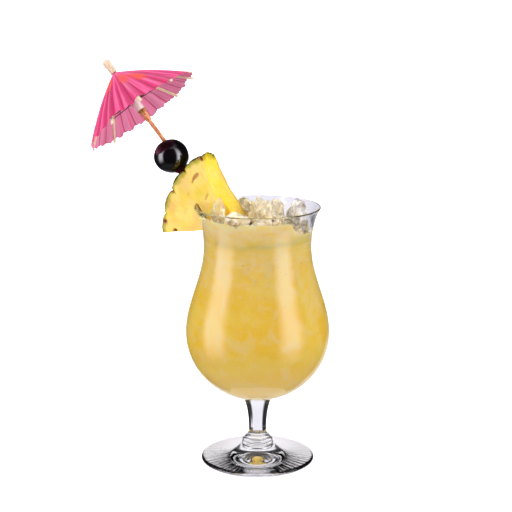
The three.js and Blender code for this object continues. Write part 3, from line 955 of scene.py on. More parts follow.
@dataclass
class TulipGlass:
    """The footed tulip glass, pressed in one piece."""

    height: float = 156
    rim_radius: float = 37.3
    rim_wall: float = 1.3
    rim_lean: float = 2.9
    rim_lean_drop: float = 4.5
    wall: float = 2.1
    waist_radius: float = 32
    waist_height: float = 132
    waist_pull: float = 11
    belly_radius: float = 43.1
    belly_height: float = 80
    belly_depth: float = 41.4
    bottom_thickness: float = 5.6
    shoulder_pull: float = 18
    stem_radius: float = 5.3
    stem_foot_height: float = 17.5
    stem_pull_height: float = 32
    stem_top_radius: float = 8.8
    stem_top_height: float = 38.6
    foot_radius: float = 34.1
    foot_bevel: float = 1.8
    foot_shoulder: float = 0.8
    foot_edge: float = 2.1
    hollow: Pair = (14.0, 1.5)
    foot_pull: tuple[Pair, Pair] = ((17.0, 3.0), (12.0, 5.8))
    groove: float = 1.3
    foot_top: Pair = (9.6, 9.4)
    rings: tuple[tuple[float, float, float], ...] = (
        (9.5, 10.4, 0.9), (9.1, 12.2, 0.9), (7.6, 14.0, 0.9), (5.9, 15.8, 0.9),
    )
    sides: int = 144
    steps: int = 22

    def bowl(self, inset: float, bottom_inset: float, rim_inset: float) -> Profile:
        """Gives the bowl's outline from the middle of its bottom to its rim.

        Args:
            inset: How far it is set in from the outer face.
            bottom_inset: The same at the bottom.
            rim_inset: The same at the rim.

        Returns:
            The outline.
        """
        belly, waist = self.belly_radius - inset, self.waist_radius - inset
        rim = self.rim_radius - rim_inset
        pull = self.shoulder_pull
        low = arc((0, self.belly_height), (belly, self.belly_depth - bottom_inset), -90, 0, self.steps)
        shoulder = bezier(
            [(belly, self.belly_height), (belly, self.belly_height + pull),
             (waist, self.waist_height - pull), (waist, self.waist_height)], self.steps,
        )
        flare = bezier(
            [(waist, self.waist_height), (waist, self.waist_height + self.waist_pull),
             (rim - self.rim_lean, self.height - self.rim_lean_drop), (rim, self.height - self.rim_wall / 2)],
            self.steps,
        )
        return low + shoulder[1:] + flare[1:]

    def foot(self) -> Profile:
        """Gives the foot's underside with the punty's hollow, its round edge and its rise to the knop."""
        reach, rise = self.hollow
        under = [
            (reach * step / 24, rise * (0.5 + 0.5 * math.cos(math.pi * step / 24))) for step in range(25)
        ]
        edge = arc((self.foot_radius - self.foot_bevel, self.foot_edge / 2),
                   (self.foot_bevel, self.foot_edge / 2), -90, 60, 8)
        start = (self.foot_radius - self.foot_shoulder - 0.6, self.foot_edge)
        slope = bezier([start, *self.foot_pull, self.foot_top], 2 * self.steps)
        return under + edge + slope

    def knop(self) -> Profile:
        """Gives the turned rings between the foot and the stem, as round beads with grooves."""
        shares = [step / 4 - 1 for step in range(9)]
        return [
            (radius - self.groove * abs(share) ** 2.2, middle + half * share)
            for radius, middle, half in self.rings for share in shares
        ]

    def stem(self) -> Profile:
        """Gives the stem, which widens upwards into the bowl."""
        return bezier(
            [(self.stem_radius, self.stem_foot_height), (self.stem_radius, self.stem_pull_height),
             (self.stem_top_radius, self.stem_top_height)], self.steps,
        )

    def outline(self) -> Profile:
        """Gives the glass's whole closed outline, from the foot's middle to the bowl's inner bottom."""
        outer = [point for point in self.bowl(0, 0, 0) if point[0] > self.stem_top_radius]
        inner = self.bowl(self.wall, self.bottom_thickness, self.rim_wall)
        lip = arc((self.rim_radius - self.rim_wall / 2, self.height - self.rim_wall / 2),
                  (self.rim_wall / 2, self.rim_wall / 2), 0, 180, 8)
        return self.foot() + self.knop() + self.stem() + outer[:-1] + lip + inner[-2::-1]

    def make(self) -> Object:
        """Builds and dresses the glass."""
        mesh = turned(self.outline(), self.sides).to_mesh("glass", 50)
        return piece("tulip_glass", mesh, PressedGlass().build(), "glass", ["glass"])


@dataclass(frozen=True)
class Scatter:
    """How grains are scattered. The density is the most grains in a square metre."""

    spacing: float
    density: float
    sizes: Pair
    flatness: float
    seed: int
    sink: float = 0.0

    def over(self, sheet: Mesh, tree: NodeTree, material: Material) -> Mesh:
        """Gives the grains that a tree scatters over a sheet.

        Args:
            sheet: The sheet that they lie on.
            tree: The tree that scatters them.
            material: Their material.

        Returns:
            The grains' mesh.
        """
        return evaluated(sheet, "NODES", {
            "Spacing": self.spacing * MM, "Density": float(self.density), "Smallest": self.sizes[0] * MM,
            "Largest": self.sizes[1] * MM, "Flatness": self.flatness, "Sink": self.sink * MM,
            "Seed": self.seed, "Material": material,
        }, node_group=tree)


@dataclass
class IcedDrink:
    """The drink up to its level, with a slushy top, and the ice that is crushed into it."""

    glass: TulipGlass
    level: float = 141.7
    bite: float = 0.35
    meniscus: float = 1.3
    meniscus_width: float = 2.2
    slush: float = 1.1
    slush_sizes: Pair = (3.2, 9)
    heap_at: Pair = (1.0, 6.0)
    heap_rise: float = 11.5
    heap_spread: float = 13.0
    bank_inset: float = 4.5
    bank_height: float = 13.0
    bank_width: float = 9.0
    bank_end_width: float = 4.5
    bank_cover: float = 0.06
    bank_reach: float = 31
    bank_sink: float = 0.9
    bank_root: float = 4
    bank_grain: float = 2.2
    bank_relief: float = 0.7
    # Where no slush is banked: at the open right side, by its angle, and in a strip beside the wedge
    open_side: tuple[Pair, Pair] = ((-58, -38), (62, 78))
    beside_fruit: tuple[Pair, Pair, Pair] = ((-4.5, -1.5), (17.5, 20.5), (30, 34))
    heap_radius: float = 24
    bubbles_from: float = 84
    # The drift of bubbles: its angle and half width in degrees, its height and half height
    drift: tuple[Pair, Pair] = ((-84, 24), (121, 13))
    loose_ice: Scatter = Scatter(1.5, 330000, (1.8, 5.0), 0.8, 5, 0.4)
    heaped_ice: Scatter = Scatter(2.4, 200000, (3.6, 8.0), 0.85, 3)
    banked_ice: Scatter = Scatter(1.9, 260000, (2.4, 5.6), 0.9, 12)
    bubbles: Scatter = Scatter(0.9, 120000, (0.35, 1.0), 0.8, 21)
    sides: int = 160
    top_rings: int = 34

    def edge_outline(self, bite: float) -> Profile:
        """Gives the drink's side up to the top of its meniscus, reaching a bite into the glass."""
        glass = self.glass
        fill = glass.bowl(glass.wall - bite, glass.bottom_thickness - bite, glass.rim_wall - bite)
        return [point for point in fill if point[1] < self.level + self.meniscus]

    def make(self) -> None:
        """Builds and dresses the drink, its slush, its crushed ice and its bubbles."""
        self.make_body()
        self.make_bank()
        self.make_crushed_ice()

    def make_body(self) -> Object:
        """Builds and dresses the body of the drink.

        Returns:
            The body's object.
        """
        side = self.edge_outline(self.bite)
        edge = side[-1][0]
        top = [
            (edge * (1 - ring / self.top_rings),
             self.level + self.meniscus * math.exp(-edge * ring / self.top_rings / self.meniscus_width))
            for ring in range(self.top_rings + 1)
        ]
        shell = turned(side[:-1] + top, self.sides)
        small, large = self.slush_sizes
        for point in shell.points:
            rise = ease(self.level - 0.5, self.level, point.z)
            inner = 1 - ease(edge - 4, edge, math.hypot(point.x, point.y))
            bumps = noise.fractal(point / small, 0.8, 2.1, 3) * 0.5 + noise.noise(point / large) * 0.5
            point.z += self.slush * rise * inner * bumps
        return piece("cloudy_drink", shell.to_mesh("drink", 60), CloudyJuice().build(), "drink", ["drink"])

    def top_sheet(self) -> Mesh:
        """Gives the sheet over the drink that crushed ice lies on, thin by the wedge and the free space."""
        radius = self.edge_outline(0)[-1][0] - 1.5
        shell = turned([(radius * (1 - ring / 20), self.level) for ring in range(21)], 72)
        mesh = shell.to_mesh("top_sheet")
        store(mesh, "density", [self.top_density(point) for point in shell.points])
        return mesh

    def top_density(self, point: Vector) -> float:
        """Says how much crushed ice lies at a point of the drink's top: little in the free space."""
        free = ease(6, 9, point.x) * ease(-1, -3, point.y) * ease(26, 22, point.x)
        return max(0.0, 1 - 0.85 * free)

    def heap_sheet(self) -> Mesh:
        """Gives the low mound that ice is heaped on between the lumps, bare over the open drink."""
        shell = turned([(self.heap_radius * (1 - ring / 16), self.level) for ring in range(17)], 64)
        shares = []
        for point in shell.points:
            away = math.hypot(point.x - self.heap_at[0], point.y - self.heap_at[1]) / self.heap_spread
            point.z += self.heap_rise * math.exp(-away * away)
            shares.append(self.top_density(point) * ease(1.5, 0.8, away))
        mesh = shell.to_mesh("heap_sheet")
        store(mesh, "density", shares)
        return mesh

    def wall_at(self, height: float) -> float:
        """Gives the radius of the glass's inner wall at a height."""
        glass = self.glass
        outline = glass.bowl(glass.wall, glass.bottom_thickness, glass.rim_wall)
        above = [point for point in outline if point[1] > glass.belly_height]
        low, high = next(pair for pair in zip(above, above[1:]) if pair[0][1] <= height <= pair[1][1])
        return lerp(low[0], high[0], (height - low[1]) / (high[1] - low[1]))

    def bank_share(self, point: Vector) -> float:
        """Says how high the slush is banked at a point: not at the open right side, nor round the wedge."""
        angle = math.degrees(math.atan2(point.y, point.x))
        fruit = PineappleWedge().frame.inverted() @ point
        start, end = self.open_side
        front, back, inner = self.beside_fruit
        opened = ease(*start, angle) * (1 - ease(*end, angle))
        beside = ease(*front, fruit.y) * (1 - ease(*back, fruit.y)) * (1 - ease(*inner, fruit.x))
        return (1 - opened) * (1 - beside)

    def make_bank(self) -> Object:
        """Builds the slush of drink and fine ice that is pushed up against the wall."""
        sides, rise, fall = 300, 12, 16
        points: list[Vector] = []
        for side in range(sides):
            turn = math.tau * side / sides
            along = Vector((math.cos(turn), math.sin(turn), 0))
            share = self.bank_share(along * self.bank_reach)
            uneven = 0.84 + 0.2 * noise.noise(along * 4) + 0.14 * noise.noise(along * 15)
            tall = self.bank_height * share * uneven - self.bank_sink
            start = self.level - self.bank_root + 2.5 * noise.noise(along * 6)
            heights = [lerp(start, self.level + tall, step / rise) for step in range(rise + 1)]
            section = [(self.wall_at(height) + self.bite + self.bank_cover, height) for height in heights]
            crest = section[-1][0]
            width = lerp(self.bank_end_width, self.bank_width, share)
            for step in range(1, fall + 1):
                down = step / fall
                spot = along * (crest - self.bank_width * down) / self.bank_grain
                bumps = self.bank_relief * noise.fractal(spot, 0.9, 2.1, 3) * share * (1 - down)
                height = lerp(self.level + tall, start, down ** 1.5) + bumps
                section.append((crest - width * down, height))
            points += [Vector((along.x * reach, along.y * reach, height)) for reach, height in section]
        count = rise + fall + 1
        rings = [range(step, len(points), count) for step in range(count)]
        mesh = Shell(points, bridged(rings, closed=True)).to_mesh("slush_bank", 70)
        return piece("slush_bank", mesh, CloudyJuice().build(), "drink")

    def bank_sheet(self) -> Mesh:
        """Gives the upright band in the slush bank that pieces of ice stick out of."""
        reach = self.wall_at(self.level) - self.bank_inset
        band = [(reach, self.level + self.bank_height * step / 10) for step in range(11)]
        shell = turned(band, 120)
        mesh = shell.to_mesh("bank_sheet")
        shares = []
        for point in shell.points:
            high = ease(self.level + 4, self.level + self.bank_height, point.z)
            shares.append(self.bank_share(point) * (1 - 0.8 * high))
        store(mesh, "density", shares)
        return mesh

    def bubble_sheet(self) -> Mesh:
        """Gives the drink's side where bubbles cling to the glass, most of them in one drift at the front."""
        band = [point for point in self.edge_outline(self.bite) if self.bubbles_from < point[1] < self.level]
        shell = turned(band, 120)
        mesh = shell.to_mesh("bubble_sheet")
        (angle, spread), (height, tall) = self.drift
        shares = []
        for point in shell.points:
            across = (math.degrees(math.atan2(point.y, point.x)) - angle) / spread
            along = (point.z - height) / tall
            drift = math.exp(-across * across - along * along)
            shares.append(max(drift, 0.04 * ease(90, 135, point.z)))
        store(mesh, "density", shares)
        return mesh

    def make_crushed_ice(self) -> list[Object]:
        """Scatters crushed ice over the drink and against the wall, and bubbles on the wall."""
        cracked, rounded = scatter_tree(Grain.CRACKED), scatter_tree(Grain.ROUND)
        ice, air = CRUSHED_ICE.build(), TRAPPED_AIR.build()
        return [
            piece(name, scatter.over(sheet, tree, finish), finish, slot)
            for name, scatter, sheet, tree, finish, slot in (
                ("crushed_ice_on_top", self.loose_ice, self.top_sheet(), cracked, ice, "ice"),
                ("crushed_ice_in_heap", self.heaped_ice, self.heap_sheet(), cracked, ice, "ice"),
                ("crushed_ice_at_wall", self.banked_ice, self.bank_sheet(), cracked, ice, "ice"),
                ("bubbles_at_wall", self.bubbles, self.bubble_sheet(), rounded, air, "drink"),
            )
        ]


@dataclass
class IceLumps:
    """The larger lumps that stand above the drink, each frozen together from smaller grains."""

    soaked: tuple[str, ...] = (
        "pointed", "behind_wedge", "back_right", "front_left", "back", "far_right", "front",
    )
    clear: tuple[str, ...] = ("right", "right_wall")
    washed: tuple[str, ...] = ("shard",)
    voxel: float = 0.5
    grain: float = 2.4
    crease: float = 0.2
    stagger: float = 0.24
    ripple: float = 0.16
    ripple_size: float = 1.0

    def make(self) -> list[Object]:
        """Builds and dresses every lump."""
        made = []
        for finish, names, relief in (
            (SOAKED_ICE, self.soaked, 1.0), (CLEAR_ICE, self.clear, 0.5), (WASHED_ICE, self.washed, 0.5),
        ):
            material = finish.build()
            made += [self.make_lump(name, material, relief) for name in names]
        return made

    def make_lump(self, name: str, finish: Material, relief: float) -> Object:
        """Roughens one lump's solid into grains with creases between them.

        Args:
            name: The lump's name.
            finish: The ice's material.
            relief: How strong the grains are.

        Returns:
            The lump's object.
        """
        node = f"ice_{name}"
        mesh = remeshed(node, self.voxel)
        normals = [vertex.normal.copy() for vertex in mesh.vertices]
        for vertex, normal in zip(mesh.vertices, normals):
            spot = vertex.co / MM
            distances, cells = noise.voronoi(spot / self.grain)
            crease = 1 - ease(0.0, 0.4, distances[1] - distances[0])
            step = noise.cell(cells[0] * 7.3)
            ripple = noise.noise(spot / self.ripple_size)
            depth = relief * (self.crease * (crease - 0.5) + self.stagger * step) - self.ripple * ripple
            vertex.co -= normal * MM * depth
        mesh.update()
        return piece(f"ice_lump_{name}", mesh, finish, "ice", [node])


# The garnish


@dataclass
class PineappleWedge:
    """The wedge on the rim: fibrous flesh round a core, and a notched woody rind."""

    face_place: Pair = (-33.7, 4.7)
    turn: float = -33.5
    thickness: float = 16
    middle: Pair = (25.2, 137.8)
    rind_radius: float = 52.6
    eye_height: float = 1.9
    eye_step: float = 17
    first_notch: float = 11
    voxel: float = 0.45
    green_band: float = 5.0
    notch_depth: float = 1.1
    fibre_depth: float = 0.14
    lump_depth: float = 0.7
    bark_depth: float = 0.35
    pit_depth: float = 0.9
    fibre_size: float = 1.1
    lump_size: float = 7.5
    bark_size: float = 2.2
    patch_size: float = 5
    # Where the side face dries towards its back edge, and how far the core's colour spreads from the border
    dry_edge: Pair = (13, 15.8)
    border_width: float = 5.5
    border: tuple[Pair, Pair] = ((25.2, 137.8), (4.6, 187.5))
    # Eye pits in the cut face: angle round the core, distance in from the rind, half length, half width
    pits: tuple[tuple[float, float, float, float], ...] = (
        (5.6, 1.7, 2.4, 1.6), (27.5, 0.4, 1.8, 1.4), (61.2, 1.0, 2.0, 1.6), (0.4, 10.2, 1.5, 1.3),
        (18.7, 0.6, 1.0, 0.9), (45, 0.3, 1.0, 1.6),
    )

    # Shallow hollows where eyes were cut through: the same, and how deep they are
    hollows: tuple[tuple[float, float, float, float, float], ...] = (
        (48.6, 9.2, 1.9, 5.0, 0.6), (34.4, 12.9, 1.6, 2.4, 0.2), (47.5, 22.5, 1.8, 3.4, 0.3),
        (20, 16.0, 1.6, 3.0, 0.15),
    )

    @property
    def frame(self) -> Matrix:
        """The wedge's own frame in millimetres: X inwards, Y away from its front face and Z up."""
        place = Matrix.Translation((*self.face_place, 0))
        return place @ Matrix.Rotation(math.radians(self.turn), 4, "Z")

    def eye_at(self, angle: float) -> float:
        """Says how far round an eye of the rind an angle in degrees is: 0 in a notch and 1 on the eye."""
        return abs(math.sin(math.pi * (angle - self.first_notch) / self.eye_step))

    def rind_at(self, angle: float, share: float) -> float:
        """Gives the rind's radius at an angle in degrees and a share of the depth."""
        swell = self.eye_height + math.sin(math.pi * share)
        return self.rind_radius + swell * math.sqrt(self.eye_at(angle))

    def pit_at(self, angle: float, inwards: float) -> float:
        """Says how deep in an eye pit a point of the cut face is, from 0 to 1."""
        deepest = 0.0
        for pit_angle, distance, length, width in self.pits:
            across = math.radians(angle - pit_angle) * (self.rind_radius - inwards)
            gap = math.hypot((inwards - distance) / length, across / width)
            deepest = max(deepest, 1 - ease(0.4, 1.3, gap))
        for hollow_angle, distance, length, width, depth in self.hollows:
            along = math.radians(angle - hollow_angle) * (self.rind_radius - inwards) / width
            pointed = abs(inwards - distance) / (length * max(0.25, 0.65 + 0.5 * along))
            deepest = max(deepest, depth * (1 - ease(0.5, 1.1, math.hypot(along, pointed))))
        return deepest

    def border_gap(self, inwards: float, height: float) -> float:
        """Gives the distance of a point of the cut face from the line where the upper side face starts."""
        (x_low, z_low), (x_high, z_high) = self.border
        run, rise = x_high - x_low, z_high - z_low
        return abs((inwards - x_low) * rise - (height - z_low) * run) / math.hypot(run, rise)

    def make(self) -> Object:
        """Presses fibres, pits and a woody rind into the wedge's solid, and dresses it."""
        mesh = remeshed("pineapple_wedge", self.voxel)
        into = self.frame.inverted()
        turned_back = into.to_3x3()
        found: dict[str, list[float]] = {name: [] for name in ("rind", "pit", "side", "edge", "border")}
        fibres, moves = [], []
        for vertex in mesh.vertices:
            spot = into @ (vertex.co / MM)
            normal = turned_back @ vertex.normal
            out, up = self.middle[0] - spot.x, spot.z - self.middle[1]
            radius, angle = math.hypot(out, up), math.degrees(math.atan2(up, out))
            share = min(1.0, max(0.0, spot.y / self.thickness))
            inwards = self.rind_at(angle, share) - radius
            patchy = noise.noise(Vector((angle / self.patch_size, spot.y / self.patch_size, 1.5)))
            facing = abs(normal.y)
            deep = (inwards - 0.6 - 0.6 * patchy) / (self.green_band + 3 * patchy)
            rind = 1.0 if inwards < 0.45 + 0.5 * patchy else 1 - min(1.0, max(0.0, deep))
            pit = self.pit_at(angle, inwards) * ease(0.5, 0.9, facing) * (1 - ease(1.5, 4, spot.y))
            arc_length = math.radians(angle) * self.rind_radius * 0.7
            thread = noise.noise(Vector((arc_length / self.fibre_size, spot.y / 5, radius / 11)))
            lump = noise.noise(spot / self.lump_size)
            scale = noise.fractal(spot / self.bark_size, 1.0, 2.0, 3)
            fleshy = 1 - ease(0.4, 0.9, rind)
            depth = fleshy * (self.fibre_depth * thread + self.lump_depth * (lump - 0.3))
            notch = 1 - ease(0.0, 0.16, self.eye_at(angle))
            bark = self.bark_depth * scale - 0.25 - self.notch_depth * notch
            depth += (1 - fleshy) * bark - self.pit_depth * pit
            moves.append(vertex.normal * depth * MM)
            side = 1 - ease(0.35, 0.8, facing)
            edge = 0.75 * side * ease(*self.dry_edge, spot.y + 1.2 * patchy)
            fibres.append(Vector((arc_length, spot.y, radius)))
            from_border = math.hypot(self.border_gap(spot.x, spot.z), max(0.0, spot.y))
            border = 0.85 * (1 - ease(0.5, self.border_width + 2 * patchy, from_border))
            for values, value in zip(found.values(), (rind, pit, side, edge, border)):
                values.append(value)
        for vertex, move in zip(mesh.vertices, moves):
            vertex.co += move
        mesh.update()
        for name, values in found.items():
            store(mesh, name, values)
        store_vectors(mesh, "fibre", fibres)
        return piece("fibrous_wedge", mesh, PineappleFlesh().build(), "pineapple", ["pineapple_wedge"])


@dataclass
class Pick:
    """The stick with what sits on it, in a frame whose Z axis runs back up the stick from the peak."""

    wedge: PineappleWedge
    peak: Triple = (-59.8, -4.7, 231)
    entry: Triple = (-14.7, 6.5, 174)
    length: float = 100
    radius: float = 1.25
    point: float = 6
    gap: float = 0.3
    finial_above: float = 8.9
    finial_below: float = 0.5
    finial_foot: float = 2.3
    finial_top: float = 2.8
    finial_dome: float = 1.9
    finial_lid: float = 2.5
    # Each sleeve's upper and lower end below the peak, and its radius at each
    collar: tuple[float, float, float, float] = (18.6, 28, 2.5, 2.5)
    ring: tuple[float, float, float, float] = (28.3, 29.8, 2.6, 2.7)
    stop: tuple[float, float, float, float] = (30.1, 36, 2.1, 1.8)
    cherry_at: Triple = (-23.6, 3.5, 182.4)
    cherry_radius: float = 10.5
    cherry_tall: float = 10.1
    # How deep the cherry dips at the stick, as a share of its radius, and how far its foot is drawn out
    dimple: float = 0.09
    pout: float = 1.6
    flap_at: float = 200
    flap_width: float = 2.6
    card: float = 0.3
    sides: int = 32

    @property
    def frame(self) -> Matrix:
        """The stick's own frame in millimetres."""
        peak = Vector(self.peak)
        up = (peak - Vector(self.entry)).normalized()
        turn = Vector((0, 0, 1)).rotation_difference(up).to_matrix().to_4x4()
        return self.wedge.frame @ Matrix.Translation(peak) @ turn

    def make(self) -> None:
        """Builds and dresses the stick and everything on it but the canopy."""
        wood = Grained("stained_softwood", "#f0b27c", "#c8672f", "#7c3414", 0.45, 3.2, self.frame, 1.0, 0.5)
        paper = Grained("rolled_paper", "#f0e2c8", "#cdb48a", "#8c5a34", 0.6, 9.0, self.frame, 1.0, 0.75)
        waxed = Grained("waxed_paper_ring", "#d8a460", "#a8702c", "#5c3410", 0.5, 4.0, self.frame, 1.0, 0.5)
        card = CutCard("card_sleeve", "#f8e0da", "#e8bfb2", "#b58a78")
        stained = wood.build()
        self.make_stick(stained)
        self.make_finial(paper.build())
        self.make_sleeves(card.build(), waxed.build(), stained)
        self.make_cherry()

    def make_stick(self, finish: Material) -> Object:
        """Builds the round stick with its cut point."""
        end = self.finial_above - self.length
        top = self.finial_above - self.finial_lid
        shaft = [(self.radius, lerp(end + self.point, top, step / 30)) for step in range(31)]
        shell = turned([(0, end), (self.radius * 0.35, end + 0.8), *shaft, (0, top)], self.sides)
        for point in shell.points:
            wobble = 1 + 0.05 * noise.noise(Vector((point.x, point.y, point.z / 6)))
            point.x, point.y = point.x * wobble, point.y * wobble
        mesh = shell.placed(self.frame).to_mesh("stick", 50)
        return piece("stained_stick", mesh, finish, "stained_wood", ["parasol_stick"])

    def make_finial(self, finish: Material) -> Object:
        """Builds the rolled paper cap: a spiral of layers that widens to a soft domed top."""
        above, below = self.finial_above, self.finial_below
        foot, top, dome = self.finial_foot, self.finial_top, self.finial_dome
        side = bezier([(foot, -below), (foot, above * 0.35), (top, above * 0.55), (top, above - dome)], 18)
        lid = arc((0, above - dome), (top, dome), 0, 90, 10)
        bore = self.radius + self.gap
        shell = turned([(0, 1.0), (bore, 0.8), (bore, -below)] + side + lid[1:], 64)
        for point in shell.points:
            spot = math.hypot(point.x, point.y)
            if spot > bore + 0.1:
                angle = math.atan2(point.y, point.x)
                layer = 0.12 * ((angle / math.tau) % 1.0) - 0.12
                crease = 0.07 * noise.noise(Vector((3 * angle, 0, point.z / 5)))
                shrink = 1 + (layer + crease) / spot
                point.x, point.y = point.x * shrink, point.y * shrink
        mesh = shell.placed(self.frame).to_mesh("finial", 45)
        return piece("rolled_finial", mesh, finish, "rolled_paper", ["parasol_finial"])

    def sleeve(self, start: float, end: float, top: float, foot: float) -> Shell:
        """Gives a sleeve on the stick, with softened ends.

        Args:
            start: Its upper end, below the peak.
            end: Its lower end, below the peak.
            top: Its radius at the upper end.
            foot: Its radius at the lower end.

        Returns:
            The sleeve in the stick's frame.
        """
        bore = self.radius + self.gap * 0.5
        soft = 0.15
        profile = [
            (bore, -end), (foot - soft, -end), (foot, -end + soft), (top, -start - soft),
            (top - soft, -start), (bore, -start),
        ]
        return turned(profile, 48, closed=True)

    def make_sleeves(self, card: Material, waxed: Material, wood: Material) -> list[Object]:
        """Builds the card collar with its torn flap, the ring under it and the stop."""
        collar = self.sleeve(*self.collar).joined(self.flap())
        made = []
        for name, shell, finish, slot, node in (
            ("card_collar", collar, card, "card", "parasol_collar"),
            ("rolled_ring", self.sleeve(*self.ring), waxed, "rolled_paper", "parasol_collar_ring"),
            ("wooden_stop", self.sleeve(*self.stop), wood, "stained_wood", "parasol_stop"),
        ):
            for point in shell.points:
                point += Vector((0.04, 0.04, 0.1)) * noise.noise(point / 1.7)
            mesh = shell.placed(self.frame).to_mesh(name, 45)
            made.append(piece(name, mesh, finish, slot, [node]))
        return made

    def flap(self) -> Shell:
        """Gives the torn corner of card that stands off the collar."""
        start, end, radius, _ = self.collar
        middle = -(start + end) / 2
        turn = Matrix.Rotation(math.radians(self.flap_at), 4, "Z")
        path = [turn @ Vector((radius + 0.35 * step, 0.0, middle + 0.5 * step)) for step in range(5)]
        strip = swept(path, self.flap_width, self.card, turn @ Vector((0, 1, 0)))
        for index, point in enumerate(strip.points):
            share = 1 - (index // 4) / (len(path) - 0.4)
            centre = path[index // 4]
            strip.points[index] = centre + (point - centre) * max(0.15, share)
        return strip

    def make_cherry(self) -> Object:
        """Builds the cherry, dimpled where the stick goes in and split where it meets the rind."""
        steps = 48
        rings = arc((0, 0), (1, 1), -90, 90, steps)
        rings[0], rings[-1] = (0, -1), (0, 1)
        shell = turned(rings, 96)
        up = (Vector(self.peak) - Vector(self.entry)).normalized()
        half = Vector((self.cherry_radius, self.cherry_radius, self.cherry_tall))
        splits = []
        for point in shell.points:
            direction = point.normalized()
            top, foot = direction.dot(up), direction.dot(-up)
            dent = self.dimple * math.exp((top - 1) / 0.012) + 0.02 * noise.noise(direction * 1.6)
            point[:] = direction * half * (1 - dent)
            pout = ease(0.9, 0.985, foot)
            point += -up * self.pout * pout + Vector((0, 0, 0.35)) * noise.noise(direction * 9) * pout
            splits.append(ease(0.88, 0.96, foot))
        place = self.wedge.frame @ Matrix.Translation(self.cherry_at)
        mesh = shell.placed(place).to_mesh("cherry", 80)
        store(mesh, "split", splits)
        return piece("black_cherry", mesh, PreservedCherry().build(), "cherry", ["cherry"])


